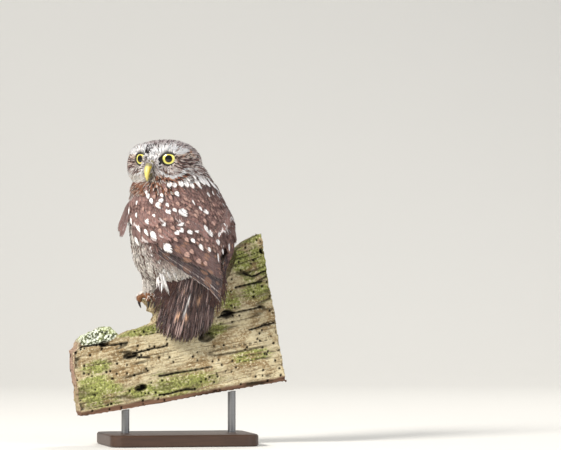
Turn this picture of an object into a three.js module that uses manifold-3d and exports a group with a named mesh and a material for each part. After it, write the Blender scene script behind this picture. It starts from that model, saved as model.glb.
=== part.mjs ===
// A life-size little owl gripping the eroded end of a weathered board, looking back over its left
// shoulder, on a plain display stand. Millimetres, +Z up. The owl's breast faces -Y and its left
// wing is on +X. The origin is the middle of the stand's underside.
import * as THREE from "three";
import { mergeVertices } from "three/addons/utils/BufferGeometryUtils.js";
import Module from "manifold-3d";

const wasm = await Module();
wasm.setup();

// Driving sizes
const GAP = 0.3; // clearance between touching nodes
const SLIVER = 0.01; // edges shorter than this are closed up when pieces are joined or cut
const OWL_AT = [6.8, 12.3]; // the owl's own axis, seen from the middle of the stand
const VANE = 0.55; // thickness of a feather vane

// Plumage with the wings folded on it, by height: [z, centre y, half width, half depth]
const PLUMAGE = [
  [136, 40, 17, 20],
  [150, 30, 26, 28.5],
  [160, 23, 33, 34],
  [170, 17, 41, 39],
  [180, 12, 48, 43.5],
  [190, 9, 53, 45.5],
  [200, 7, 56, 46],
  [212, 3, 57.5, 47.5],
  [225, -0.5, 56.5, 47],
  [238, -5, 52.5, 44.5],
  [252, -8.6, 46.4, 41.6],
];

// Breast, belly and back under the wings, in the same form
const TORSO = [
  [156, -2, 9, 8],
  [160, -2, 23, 18],
  [166, -2, 35, 27],
  [174, -2, 43, 34],
  [183, -1, 49, 38.5],
  [192, 2, 53, 42],
  [203, 3.5, 55, 45],
  [214, 2, 55.5, 45.5],
  [226, -1.5, 54.5, 45.5],
  [238, -5, 51, 43.5],
  [249, -8, 47.5, 42],
];
const NECK = [
  [240, -5.5, 50.4, 43.2],
  [249, -8, 47.5, 42],
  [257, -9.5, 44.5, 41],
  [264, -10, 40, 38.5],
  [271, -8, 33.5, 34],
  [279, -9, 28, 30.5],
  [287, -12, 17, 20],
];
const TORSO_TOP = 248.8;
const NECK_TILT = 0.24; // slope of the cut between neck and head, falling towards the face

// Head: its middle, the way the face looks, and its half sizes
const HEAD_AT = new THREE.Vector3(5, -17, 279);
const HEAD_TURN = 25; // degrees from +X; the face looks left and a little back
const HEAD_FRONT = 32.5;
const HEAD_BACK = 33;
const HEAD_SIDE = 36.5;
const HEAD_UP = 26;
const HEAD_DOWN = 25;
const HEAD_SQUARE = 2.25; // exponent of its rounding
// Relief of the face: [left, up, spread left, spread up, height], each side alike
const FACE_RELIEF = [
  [16, 6.5, 9, 8, -3.6],
  [13, 16.5, 11, 4.2, 2.8],
  [0, 6, 4.5, 9, 1.6],
  [21, -9, 10, 7, 1.8],
  [0, -15, 9, 5, 2.2],
  [30, 4, 4, 14, 1.4],
];
const FACE_EDGE = 2.5; // how sharply the relief ends at the side of the head
const EYE_R = 8.2;
const EYE_DEEP = 3.6; // half depth of the eye along its line of sight
const CORNEA = 0.4; // bulge of the eye's front
const EYE_OUT = 20; // degrees each eye looks out from the face
const EYE_FRONT = [25, 16, 7.2]; // foremost point of the eye: face, side, up
const LID_R = 6.9;
const LID_THICK = 1.15;
const LID_AHEAD = 0.5; // the lid's rim in front of the eye's ball
const OPENING_R = [6.4, 9.6]; // opening of the plumage before an eye, at the lid and in front
const OPENING_LONG = 9;
// Bill, in the head's frame: the paths of its halves, and rows of share along, half width, half height
const UPPER_PATH = [
  [26, 0, 3.5],
  [33, 0, 3.1],
  [38.4, 0, -1.3],
  [41, 0, -7.3],
  [40, 0, -15.6],
];
const UPPER_SIZE = [
  [0, 3, 3],
  [0.3, 3.2, 3.6],
  [0.55, 2.9, 3.1],
  [0.8, 2, 2.1],
  [1, 0.5, 0.5],
];
const LOWER_PATH = [
  [26, 0, -9],
  [32, 0, -9.3],
  [36.8, 0, -11.7],
];
const LOWER_SIZE = [
  [0, 2.5, 2],
  [0.5, 2.1, 1.7],
  [1, 0.8, 0.8],
];
const NOSTRIL_R = 0.75;
const NOSTRIL_LONG = 3;
const NOSTRIL_TILT = 0.3;
const NOSTRIL_AT = [36.4, 3.3, 0.3];

// Wing: the lower edge of the folded wing and its edge along the back, as [z, angle round the plumage]
const WING_LOW = [
  [140, 118],
  [150, 78],
  [160, 63],
  [166.5, 55],
  [171, 48],
  [180.5, 34],
  [187, 24],
  [192, 12],
  [200, -6],
  [213, -12],
  [230, -19],
  [243, -25],
  [252, -20],
];
const WING_BACK = [
  [140, 128],
  [164, 118],
  [183, 110],
  [196, 97],
  [210, 84],
  [225, 70],
  [240, 56],
  [252, 40],
];
const WING_DEPTH = 8; // depth of the torso's hollow for the wing, under the plumage surface
const HOLLOW_RUN = 14; // degrees outside the wing over which the hollow runs out
const HOLLOW_EDGE = -1; // degrees inside the wing at which it is full
const HOLLOW_TOP = [236, 247]; // heights between which it runs out upwards
const TORSO_CLEAR = 0.5; // clearance that the torso keeps all round
const FACET_CLEAR = 0.6; // and a little more for a feather over its flat facets
const ARM_Z = [198, 244];
const ARM_LIFT = -4; // outer face of the wing's arm, from the plumage surface
const ARM_END = 84; // and the greatest angle round the plumage that an arm reaches
const ARM_INSET = [2, 4]; // degrees that the left and the right arm stay inside the wing's edges
// Tiers of vanes on each wing: how many, the first and the last vane as [angle round the plumage, z] of
// root, bend and tip with their half width, then the lift off the plumage of the first and its step to the
// next, how deep their roots sink, how far their tips rise and how much each is tilted over its neighbour.
const COVERTS = [
  {
    count: 7,
    first: { root: [-6, 222], bend: [0, 212], tip: [10, 202], half: 4.8 },
    last: { root: [50, 231], bend: [61, 220], tip: [73, 209], half: 5.4 },
    lift: -0.6,
    sink: 4.4,
    tilt: -0.6,
  },
  {
    count: 6,
    first: { root: [-11, 237], bend: [-6, 228], tip: [0, 217], half: 4.6 },
    last: { root: [34, 243], bend: [42, 233], tip: [51, 221], half: 5.2 },
    lift: 1.4,
    sink: 6.4,
    tilt: -0.6,
  },
];
const ALULA = {
  count: 3,
  first: { root: [-20, 241], bend: [-29, 228], tip: [-36, 211], half: 4.8 },
  last: { root: [-14, 234], bend: [-19, 222], tip: [-20, 205], half: 4.8 },
  lift: -0.8,
  sink: 3,
  rise: 11,
  tilt: 3.5,
};
const LEFT_TIERS = [
  {
    count: 5,
    first: { root: [3, 209], bend: [45, 174], tip: [119, 145], half: 4.8 },
    last: { root: [15, 218], bend: [58, 189], tip: [112, 167], half: 5.2 },
    lift: -6,
    step: 0.36,
    sink: 0.4,
    rise: 2,
    tilt: 0.7,
  },
  {
    count: 5,
    first: { root: [14, 209], bend: [56, 190], tip: [106, 168], half: 5 },
    last: { root: [55, 225], bend: [79, 213], tip: [97, 197], half: 5.6 },
    lift: -2.6,
    sink: 3,
    rise: 2,
    tilt: 0.7,
  },
  ...COVERTS,
  {
    count: 3,
    first: { root: [43, 245], bend: [51, 234], tip: [58, 222], half: 5.2 },
    last: { root: [69, 228], bend: [78, 219], tip: [85, 208], half: 5.8 },
    lift: 1.4,
    sink: 6,
    tilt: -0.6,
  },
  ALULA,
];
const RIGHT_TIERS = [
  {
    count: 5,
    first: { root: [3, 209], bend: [38, 184], tip: [68, 164], half: 4.8 },
    last: { root: [15, 218], bend: [46, 195], tip: [63, 182], half: 4.8 },
    lift: -6,
    step: 0.36,
    sink: 0.4,
    rise: -1,
    tilt: 0.7,
  },
  {
    count: 4,
    first: { root: [14, 209], bend: [44, 197], tip: [59, 185], half: 5 },
    last: { root: [52, 225], bend: [64, 215], tip: [71, 206], half: 5.6 },
    lift: -2.6,
    sink: 3,
    rise: -1.2,
    tilt: 0.7,
  },
  ...COVERTS,
  {
    count: 2,
    first: { root: [43, 245], bend: [51, 234], tip: [58, 222], half: 5.2 },
    last: { root: [58, 237], bend: [66, 227], tip: [73, 216], half: 5.6 },
    lift: 1.4,
    sink: 6,
    tilt: -0.6,
  },
  ALULA,
];

// Tail
const TAIL_ROOT = new THREE.Vector3(4.5, 37, 190);
const TAIL_TIP = new THREE.Vector3(4.5, 8.5, 103);
const TAIL_TURN = 30; // degrees that the tail's back turns towards the left
const TAIL_ROOF = 2.6; // fall of the tail's edges
const TAIL_ROUNDING = 6.5; // how much shorter the outermost feathers are
const RECTRICES = 12;
const RECTRIX_HALF = 8.4;
const RECTRIX_TILT = 0.34;
const TAIL_SPREAD = 23; // from the middle of the tail to the middle of the outermost feather's tip
const TAIL_ROOT_SPREAD = 5;
const TAIL_OPENING = 0.35; // power by which the feathers draw apart; below 1 they do so near the root
const TAIL_STEP = 1.05; // each feather lies this much under its inner neighbour
const TAIL_MIDDLE = 0.62; // offset of the two middle feathers towards the tail's middle, in feather steps
// Covert block at the tail's root: [along the tail, half width, half depth]
const TAIL_BLOCK = [
  [-4, 9, 4.5],
  [6, 14, 6.8],
  [16, 15.5, 5.6],
  [25, 15, 3.8],
  [30, 11, 2.2],
];
const TAIL_BLOCK_DOWN = -1.7;
const TAIL_BLOCK_ROUND = 14;

// Legs and feet
const LEDGE_Z = 146; // where the feet stand
// Middles of the left and the right foot, as [x, y]
const FEET = [
  [24, -22.5],
  [-21, -21],
];
// Paths of the limbs as [distance behind the foot, z], and rows of share along, half width, half depth
const THIGH_PATH = [
  [17, 184],
  [12, 172],
  [6, 160],
];
const THIGH_SIZE = [
  [0, 15, 13.5],
  [1, 10.5, 9.5],
];
const SHANK_PATH = [
  [7, 165],
  [2.5, 157],
  [0, 150.5],
];
const SHANK_SIZE = [
  [0, 8, 8],
  [1, 6.2, 6],
];
// A toe's path as [share of its reach, beyond it, height over the wood], hanging over an edge or lying level
const HANGING_TOE = [
  [0, 0, 4.4],
  [0.5, 0, 4.2],
  [1, 0, 2.4],
  [1, 1.5, -1.8],
  [1, 0.8, -5.6],
  [1, -1, -9.4],
];
const LEVEL_TOE = [
  [0, 0, 4.2],
  [0.5, 0, 4.3],
  [1, 0, 3.3],
  [1, 4, 3.4],
  [1, 7.6, 0.6],
];
const FOOT_BALL = 5;
const FOOT_RISE = 4.6; // middle of the foot's ball over the wood
const TOE_R = [3.5, 3];
const CLAW_R = [1.5, 0.35];
const CLAW_LENGTH = 8;
const CLAW_SUNK = 0.5; // how far a claw's base starts inside its toe, before it is cut clear
// Toes of each foot, left then right: degrees outwards from straight ahead, reach on the wood, whether it
// hangs over the edge
const TOES = [
  [
    ["toe_2", -26, 13, false],
    ["toe_3", 20, 7.8, true],
    ["toe_4", 150, 9, true],
    ["toe_1", 190, 9.8, true],
  ],
  [
    ["toe_2", -24, 13, false],
    ["toe_3", 18, 8.6, true],
    ["toe_4", 118, 12.5, false],
    ["toe_1", 180, 11, false],
  ],
];

// Board: its outline seen from the tail's side, x along the board towards the owl's right, and its turn
const BOARD_TURN = 151;
const BOARD_FACE = 3; // from the owl's axis back to the board's near face
const BOARD_THICK = 30;
const BOARD_OUTLINE = [
  [-99.2, 28],
  [110.6, 62.4],
  [84, 212.5],
  [67.8, 204],
  [57.6, 196],
  [54.6, 183],
  [49.5, 171],
  [43.3, 159],
  [29.5, LEDGE_Z],
  [-35, LEDGE_Z],
  [-34, 142],
  [-29.5, 137.4],
  [-30.5, 133.6],
  [-24, 131.4],
  [-24.6, 127],
  [-26, 123],
  [-38.5, 117.8],
  [-48.9, 115.6],
  [-60, 110.5],
  [-69.7, 118.6],
  [-78.8, 118],
  [-86.6, 113.2],
  [-95.7, 110.6],
  [-102.3, 105.5],
  [-104.3, 97.8],
  [-108.6, 95],
  [-108, 74],
  [-105.3, 62],
  [-103.4, 56],
  [-101.5, 35],
];

// Stand
const BASE = [150, 104, 12];
const BASE_ROUND = 12;
const BASE_BEVEL = 1.5;
const ROD_R = 4;
const ROD_X = [-52, 56];

// Small helpers
const vec = (x, y, z) => new THREE.Vector3(x, y, z);
const radians = THREE.MathUtils.degToRad;
const mix = THREE.MathUtils.lerp;

// Smooth values between the rows of a table whose first column rises.
function table(rows) {
  const size = rows[0].length - 1;
  const curve = new THREE.CubicInterpolant(
    rows.map((row) => row[0]),
    rows.flatMap((row) => row.slice(1)),
    size,
  );
  const low = rows[0][0];
  const high = rows.at(-1)[0];
  return (at) => [...curve.evaluate(THREE.MathUtils.clamp(at, low, high))];
}

function toSolid(geometry) {
  geometry.deleteAttribute("normal");
  geometry.deleteAttribute("uv");
  const merged = mergeVertices(geometry, 1e-4);
  const solid = new wasm.Manifold(
    new wasm.Mesh({
      numProp: 3,
      vertProperties: new Float32Array(merged.attributes.position.array),
      triVerts: new Uint32Array(merged.index.array),
      tolerance: SLIVER,
    }),
  );
  return solid;
}

function toGeometry(solid) {
  const mesh = solid.getMesh();
  const points = new Float32Array(mesh.numVert * 3);
  for (let i = 0; i < mesh.numVert; i++)
    points.set(mesh.vertProperties.subarray(i * mesh.numProp, i * mesh.numProp + 3), i * 3);
  const geometry = new THREE.BufferGeometry();
  geometry.setAttribute("position", new THREE.BufferAttribute(points, 3));
  geometry.setIndex(new THREE.BufferAttribute(new Uint32Array(mesh.triVerts), 1));
  return geometry;
}

// The largest closed surface of a solid, without sealed hollows or loose scraps.
function largest(solid) {
  return solid.decompose().reduce((best, part) => (part.volume() > best.volume() ? part : best));
}

const union = (solids) => solids.reduce((sum, solid) => sum.add(solid));

// A closed solid through rings of points. A plain one is capped by fans. A sheet's rings run along its upper
// face and back along its underside; it is capped by ladders and both its faces are split alike.
function loft(rings, sheet = false) {
  const around = rings[0].length;
  const points = rings.flat();
  const faces = [];
  for (let i = 0; i + 1 < rings.length; i++)
    for (let j = 0; j < around; j++) {
      const next = (j + 1) % around;
      const [a, b] = [i * around + j, i * around + next];
      const [c, d] = [(i + 1) * around + next, (i + 1) * around + j];
      if (sheet && j >= around / 2) faces.push(a, b, d, b, c, d);
      else faces.push(a, b, c, a, c, d);
    }
  const last = (rings.length - 1) * around;
  if (sheet) {
    for (let j = 0; j + 1 < around / 2; j++) {
      const [a, b, c, d] = [j, j + 1, around - 2 - j, around - 1 - j];
      faces.push(b, a, d, b, d, c);
      faces.push(last + a, last + b, last + c, last + a, last + c, last + d);
    }
  } else {
    const middle = (ring) => ring.reduce((sum, p) => sum.add(p), vec(0, 0, 0)).divideScalar(around);
    points.push(middle(rings[0]), middle(rings.at(-1)));
    for (let j = 0; j < around; j++) {
      const next = (j + 1) % around;
      faces.push(points.length - 2, next, j, points.length - 1, last + j, last + next);
    }
  }
  let volume = 0;
  for (let i = 0; i < faces.length; i += 3) {
    const [p, q, r] = [points[faces[i]], points[faces[i + 1]], points[faces[i + 2]]];
    volume += p.dot(q.clone().cross(r));
  }
  if (volume < 0) faces.reverse();
  const geometry = new THREE.BufferGeometry().setFromPoints(points);
  geometry.setIndex(faces);
  return toSolid(geometry);
}

// A tube of round or oval rings along a curve; radius(t) gives [across, upright]. grow makes it larger
// all round and at both ends.
function tube(curve, radius, steps, around, grow = 0) {
  const frames = curve.computeFrenetFrames(steps, false);
  const rings = [];
  for (let i = 0; i <= steps; i++) {
    const beyond = i === 0 ? -grow : i === steps ? grow : 0;
    const middle = curve.getPointAt(i / steps).addScaledVector(frames.tangents[i], beyond);
    const [across, upright] = radius(i / steps);
    const ring = [];
    for (let j = 0; j < around; j++) {
      const angle = (2 * Math.PI * j) / around;
      ring.push(
        middle
          .clone()
          .addScaledVector(frames.normals[i], Math.cos(angle) * (across + grow))
          .addScaledVector(frames.binormals[i], Math.sin(angle) * (upright + grow)),
      );
    }
    rings.push(ring);
  }
  return loft(rings);
}

// A stack of level ovals from a table, grown outwards by grow; shape moves each of its points.
function stack(rows, grow, around, levels, shape = (point) => point) {
  const at = table(rows);
  const [low, high] = [rows[0][0], rows.at(-1)[0]];
  const rings = [];
  for (let i = 0; i <= levels; i++) {
    const z = mix(low, high, i / levels);
    const [y, wide, deep] = at(z);
    const ring = [];
    for (let j = 0; j < around; j++) {
      const angle = (2 * Math.PI * j) / around;
      const point = shape(vec(wide * Math.cos(angle), y + deep * Math.sin(angle), z));
      const outwards = vec(point.x / wide, (point.y - y) / deep, 0).normalize();
      ring.push(point.addScaledVector(outwards, grow));
    }
    rings.push(ring);
  }
  if (grow) {
    for (const point of rings[0]) point.z -= grow;
    for (const point of rings.at(-1)) point.z += grow;
  }
  return loft(rings);
}

// A slab that keeps what lies above or below a tilted plane z = height + slopeX x + slopeY y.
function halfSpace(height, slopeX, slopeY, above) {
  const reach = 400;
  const corner = (x, y, z) => vec(x, y, height + slopeX * x + slopeY * y + z);
  const far = above ? reach : -reach;
  const ring = (z) => [
    corner(-reach, -reach, z),
    corner(reach, -reach, z),
    corner(reach, reach, z),
    corner(-reach, reach, z),
  ];
  return loft([ring(0), ring(far)]);
}

// Points on the plumage: an angle round it (0 on the owl's left, 90 on its back), a height and a lift off it.
const plumage = table(PLUMAGE);
function onPlumage(angle, z, lift) {
  const [y, wide, deep] = plumage(z);
  const a = radians(angle);
  return vec((wide + lift) * Math.cos(a), y + (deep + lift) * Math.sin(a), z);
}
function angleOf(point) {
  const [y, wide, deep] = plumage(point.z);
  return THREE.MathUtils.radToDeg(Math.atan2((point.y - y) / deep, point.x / wide));
}

// How far a place on the plumage lies under a wing: 1 well under it, 0 clear of it.
const wingLow = table(WING_LOW);
const wingBack = table(WING_BACK);
const smooth = THREE.MathUtils.smoothstep;
function underWing(angle, z) {
  const own = Math.abs(angle) > 90 ? Math.sign(angle) * 180 - angle : angle;
  const inside = Math.min(own - wingLow(z)[0], wingBack(z)[0] - own);
  return smooth(inside, -HOLLOW_RUN, HOLLOW_EDGE) * (1 - smooth(z, ...HOLLOW_TOP));
}

// Presses a point of the torso in where a wing lies on it.
function pressed(point) {
  const [y, wide, deep] = plumage(point.z);
  const share = Math.hypot(point.x / wide, (point.y - y) / deep);
  const angle = angleOf(point);
  const reach = Math.hypot(wide * Math.cos(radians(angle)), deep * Math.sin(radians(angle)));
  const lift = (share - 1) * reach;
  const floor = -WING_DEPTH * underWing(angle, point.z);
  if (lift <= floor) return point;
  const outwards = vec(point.x / wide, (point.y - y) / deep, 0).normalize();
  return point.addScaledVector(outwards, floor - lift);
}

// The lowest lift that a feather may have over the torso, at an angle round the plumage and a height.
const torsoAt = table(TORSO);
function clearFloor(angle, z) {
  const [y, wide, deep] = torsoAt(z);
  const point = onPlumage(angle, z, 0);
  const outside = (Math.hypot(point.x / wide, (point.y - y) / deep) - 1) * Math.min(wide, deep);
  return TORSO_CLEAR + FACET_CLEAR - Math.max(WING_DEPTH * underWing(angle, z), outside);
}

// The wing's arm: a shell between its two edges that fills the torso's hollow.
function wingArm(zRange, lift, inset, rows, columns) {
  const rings = [];
  for (let i = 0; i <= rows; i++) {
    const z = mix(zRange[0], zRange[1], i / rows);
    const from = wingLow(z)[0] + inset;
    const to = Math.min(wingBack(z)[0] - inset, ARM_END);
    const outer = [];
    const inner = [];
    for (let j = 0; j <= columns; j++) {
      const angle = mix(from, to, j / columns);
      const floor = clearFloor(angle, z);
      outer.push(onPlumage(angle, z, Math.max(lift, floor + VANE)));
      inner.push(onPlumage(angle, z, floor));
    }
    rings.push([...outer, ...inner.reverse()]);
  }
  return loft(rings, true);
}

const mirrorX = (solid) => solid.mirror([1, 0, 0]);

// A feather vane lying on the plumage, from its root to its tip through a bend. It stays clear of the torso.
const ROOT_SHARE = 0.3; // share of a vane's length over which its root sinks
const AHEAD = 0.02; // share of its length over which its direction is taken
const VANE_STOPS = [
  [0, 0.5],
  [0.3, 0.9],
  [0.7, 1],
  [0.92, 0.72],
  [1, 0.3],
];
function vane({ root, bend, tip, half, lift, sink, rise = 0, tilt }) {
  const at = (t, k) => (1 - t) * (1 - t) * root[k] + 2 * t * (1 - t) * bend[k] + t * t * tip[k];
  const liftAt = (t) => lift + rise * t * t - sink * Math.max(0, 1 - t / ROOT_SHARE) ** 1.5;
  const spine = (t, up) => onPlumage(at(t, 0), at(t, 1), liftAt(t) + up);
  const rings = VANE_STOPS.map(([t, share]) => {
    const along = spine(Math.min(1, t + AHEAD), 0).sub(spine(Math.max(0, t - AHEAD), 0));
    const out = spine(t, 10).sub(spine(t, 0));
    const side = vec(0, 0, 0).crossVectors(along, out).normalize().multiplyScalar(half * share);
    const tops = [];
    const undersides = [];
    for (const way of [1, -1]) {
      const edge = spine(t, 0).addScaledVector(side, way);
      const angle = angleOf(edge);
      const under = Math.max(liftAt(t) + way * tilt - VANE, clearFloor(angle, edge.z));
      undersides.push(onPlumage(angle, edge.z, under));
      tops.push(onPlumage(angle, edge.z, under + VANE));
    }
    return [...tops, ...undersides.reverse()];
  });
  return loft(rings, true);
}

// A tier of vanes between a first and a last one.
function tier({ count, first, last, lift, step = 0, ...shared }) {
  const solids = [];
  for (let i = 0; i < count; i++) {
    const t = i / (count - 1);
    const between = (key) => first[key].map((value, k) => mix(value, last[key][k], t));
    const half = mix(first.half, last.half, t);
    const line = { root: between("root"), bend: between("bend"), tip: between("tip") };
    solids.push(vane({ ...shared, ...line, half, lift: lift + step * i }));
  }
  return solids;
}

// A folded wing on the owl's left. The left wing reaches past the middle of the back, over the right one.
function wing(tiers, inset) {
  return union([wingArm(ARM_Z, ARM_LIFT, inset, 6, 6), ...tiers.flatMap(tier)]);
}

// Frame of the tail: along it, across to the owl's left, and out of its back.
const tailAlong = TAIL_TIP.clone().sub(TAIL_ROOT).normalize();
const tailAcross = vec(Math.cos(radians(TAIL_TURN)), -Math.sin(radians(TAIL_TURN)), 0);
const tailOut = vec(0, 0, 0).crossVectors(tailAlong, tailAcross).normalize();
if (tailOut.y < 0) tailOut.negate();
const TAIL_LENGTH = TAIL_TIP.distanceTo(TAIL_ROOT);

function tailPoint(along, across, out) {
  return TAIL_ROOT.clone()
    .addScaledVector(tailAlong, along)
    .addScaledVector(tailAcross, across)
    .addScaledVector(tailOut, out);
}

// Tail covert block, in which the feathers root; grow widens it for the hollow in the torso.
function tailRoot(grow) {
  const rings = [];
  for (const [along, wide, deep] of TAIL_BLOCK) {
    const end = along === TAIL_BLOCK[0][0] ? -grow : along === TAIL_BLOCK.at(-1)[0] ? grow : 0;
    const middle = tailPoint(along + end, 0, TAIL_BLOCK_DOWN);
    const ring = [];
    for (let j = 0; j < TAIL_BLOCK_ROUND; j++) {
      const angle = (2 * Math.PI * j) / TAIL_BLOCK_ROUND;
      ring.push(
        middle
          .clone()
          .addScaledVector(tailAcross, (wide + grow) * Math.cos(angle))
          .addScaledVector(tailOut, (deep + grow) * Math.sin(angle)),
      );
    }
    rings.push(ring);
  }
  return loft(rings);
}

// One tail feather. They are counted from the owl's right; each lies under its inner neighbour.
const RECTRIX_STOPS = [
  [0.08, 0.45],
  [0.4, 0.9],
  [0.8, 1],
  [0.95, 0.78],
  [1, 0.4],
];
function tailFeather(index) {
  const side = index < RECTRICES / 2 ? -1 : 1;
  const rank = side < 0 ? RECTRICES / 2 - index : index - RECTRICES / 2 + 1;
  const share = (rank - TAIL_MIDDLE) / (RECTRICES / 2 - TAIL_MIDDLE); // 0 in the middle, 1 at the outside
  const length = TAIL_LENGTH - TAIL_ROUNDING * share ** 2;
  const depth = -TAIL_STEP * (rank - 1) - (side < 0 ? TAIL_STEP / 2 : 0);
  const rings = RECTRIX_STOPS.map(([t, wide]) => {
    const middle = side * share * mix(TAIL_ROOT_SPREAD, TAIL_SPREAD, t ** TAIL_OPENING);
    const half = RECTRIX_HALF * wide;
    const place = (offset, down) => {
      const across = middle + offset * half;
      const roof = -TAIL_ROOF * (across / (TAIL_SPREAD + RECTRIX_HALF)) ** 2 * t;
      const slant = -side * offset * RECTRIX_TILT;
      return tailPoint(length * t, across, depth * mix(0.5, 1, t) + roof + slant - down);
    };
    return [place(-1, 0), place(1, 0), place(1, VANE), place(-1, VANE)];
  });
  return loft(rings, true);
}

function tailFeathers() {
  const feathers = [];
  for (let i = 0; i < RECTRICES; i++) feathers.push(tailFeather(i));
  return feathers;
}

// Head frame to the owl's frame: face, left, up.
const headTurn = new THREE.Matrix4()
  .makeRotationZ(radians(HEAD_TURN))
  .setPosition(HEAD_AT);
const inHead = (face, left, up) => vec(face, left, up).applyMatrix4(headTurn);

// Distance to the head's surface along a direction of the head frame.
function headRadius(d) {
  const long = d.x > 0 ? HEAD_FRONT : HEAD_BACK;
  const tall = d.z > 0 ? HEAD_UP : HEAD_DOWN;
  const sum =
    Math.abs(d.x / long) ** HEAD_SQUARE +
    Math.abs(d.y / HEAD_SIDE) ** HEAD_SQUARE +
    Math.abs(d.z / tall) ** HEAD_SQUARE;
  const radius = sum ** (-1 / HEAD_SQUARE);
  if (d.x <= 0) return radius;
  const [left, up] = [Math.abs(d.y) * radius, d.z * radius];
  let relief = 0;
  for (const [atLeft, atUp, wide, high, height] of FACE_RELIEF)
    relief += height * Math.exp(-(((left - atLeft) / wide) ** 2) - ((up - atUp) / high) ** 2);
  return radius + relief * Math.min(1, d.x * FACE_EDGE);
}

function headForm() {
  const ball = new THREE.SphereGeometry(1, 36, 24);
  ball.rotateX(Math.PI / 2);
  const place = ball.getAttribute("position");
  const d = vec(0, 0, 0);
  for (let i = 0; i < place.count; i++) {
    d.fromBufferAttribute(place, i).normalize();
    const p = d.clone().multiplyScalar(headRadius(d)).applyMatrix4(headTurn);
    place.setXYZ(i, p.x, p.y, p.z);
  }
  return toSolid(ball);
}

// Eye: a flat ball with the cornea's bulge in front. side is 1 on the head's left.
function eye(side, grow) {
  const ball = new THREE.SphereGeometry(1, 16, 11);
  ball.rotateZ(-Math.PI / 2);
  const place = ball.getAttribute("position");
  for (let i = 0; i < place.count; i++) {
    const forward = Math.max(0, place.getX(i));
    const ahead = place.getX(i) * (EYE_DEEP + grow) + CORNEA * forward ** 6;
    place.setXYZ(i, ahead, place.getY(i) * (EYE_R + grow), place.getZ(i) * (EYE_R + grow));
  }
  ball.applyMatrix4(eyeFrame(side, 0));
  return toSolid(ball);
}

// Frame on an eye's line of sight, a distance in front of the middle of its ball.
function eyeFrame(side, ahead) {
  const turn = radians(EYE_OUT) * side;
  const [face, left, up] = EYE_FRONT;
  const back = EYE_DEEP + CORNEA - ahead;
  const frame = new THREE.Matrix4().makeRotationZ(turn);
  frame.setPosition(face - back * Math.cos(turn), left * side - back * Math.sin(turn), up);
  return headTurn.clone().multiply(frame);
}

const LID_PLANE = EYE_DEEP * Math.sqrt(1 - (LID_R / EYE_R) ** 2); // where the lid meets the ball
function lid(side) {
  const ring = new THREE.TorusGeometry(LID_R, LID_THICK, 6, 18);
  ring.rotateY(Math.PI / 2);
  ring.applyMatrix4(eyeFrame(side, LID_PLANE + LID_AHEAD));
  return toSolid(ring);
}

// The opening before an eye: a cone that widens forwards from the lid.
function opening(side) {
  const cone = new THREE.CylinderGeometry(OPENING_R[1], OPENING_R[0], OPENING_LONG, 20);
  cone.rotateZ(-Math.PI / 2);
  cone.applyMatrix4(eyeFrame(side, LID_PLANE + OPENING_LONG / 2));
  return toSolid(cone);
}

// Bill: the hooked upper half with its cere and nostrils, and the smaller lower half.
const headCurve = (path) => new THREE.CatmullRomCurve3(path.map((point) => inHead(...point)));
const billUpper = (grow) => tube(headCurve(UPPER_PATH), table(UPPER_SIZE), 9, 12, grow);
const billLower = (grow) => tube(headCurve(LOWER_PATH), table(LOWER_SIZE), 5, 10, grow);

function nostrils() {
  return union(
    [1, -1].map((side) => {
      const pit = new THREE.CylinderGeometry(NOSTRIL_R, NOSTRIL_R, NOSTRIL_LONG, 8);
      pit.rotateX(side * NOSTRIL_TILT);
      const at = inHead(NOSTRIL_AT[0], NOSTRIL_AT[1] * side, NOSTRIL_AT[2]);
      pit.applyMatrix4(new THREE.Matrix4().makeRotationZ(radians(HEAD_TURN)).setPosition(at));
      return toSolid(pit);
    }),
  );
}

// Leg over a foot at [x, y]: the feathered thigh and the feathered shank.
function limb([x, y], path, sizes, steps, around, grow) {
  const curve = new THREE.CatmullRomCurve3(path.map(([behind, z]) => vec(x, y + behind, z)));
  return tube(curve, table(sizes), steps, around, grow);
}
const thigh = (at, grow) => limb(at, THIGH_PATH, THIGH_SIZE, 6, 16, grow);
const shank = (at, grow) => limb(at, SHANK_PATH, SHANK_SIZE, 5, 12, grow);

// Path of a toe and its claw: out along the wood, then down over its edge, or level with the claw's tip down.
function toePath([x, y], outwards, reach, hangs) {
  const turn = radians(outwards) * Math.sign(x);
  const points = (hangs ? HANGING_TOE : LEVEL_TOE).map(([share, beyond, height]) => {
    const out = share * reach + beyond;
    return vec(x + out * Math.sin(turn), y - out * Math.cos(turn), LEDGE_Z + GAP + height);
  });
  return new THREE.CatmullRomCurve3(points);
}

// Part of a toe's path as a curve of its own, by length along it.
function stretch(path, from, to, count) {
  const total = path.getLength();
  const points = [];
  for (let i = 0; i <= count; i++) points.push(path.getPointAt(mix(from, to, i / count) / total));
  return new THREE.CatmullRomCurve3(points);
}

function foot(at, toes, grow) {
  const ball = new THREE.SphereGeometry(FOOT_BALL + grow, 10, 7);
  ball.scale(1, 1, 0.8);
  ball.translate(...at, LEDGE_Z + GAP + FOOT_RISE);
  const solids = [toSolid(ball)];
  for (const [, outwards, reach, hangs] of toes) {
    const path = toePath(at, outwards, reach, hangs);
    const end = path.getLength() - CLAW_LENGTH;
    const radius = (t) => [mix(...TOE_R, t), mix(...TOE_R, t)];
    solids.push(tube(stretch(path, 0, end, 5), radius, 5, 8, grow));
  }
  return union(solids);
}

function claw(at, outwards, reach, hangs) {
  const path = toePath(at, outwards, reach, hangs);
  const length = path.getLength();
  const curve = stretch(path, length - CLAW_LENGTH - CLAW_SUNK, length - 0.01, 4);
  return tube(curve, (t) => [mix(...CLAW_R, t), mix(...CLAW_R, t)], 5, 8);
}

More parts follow.
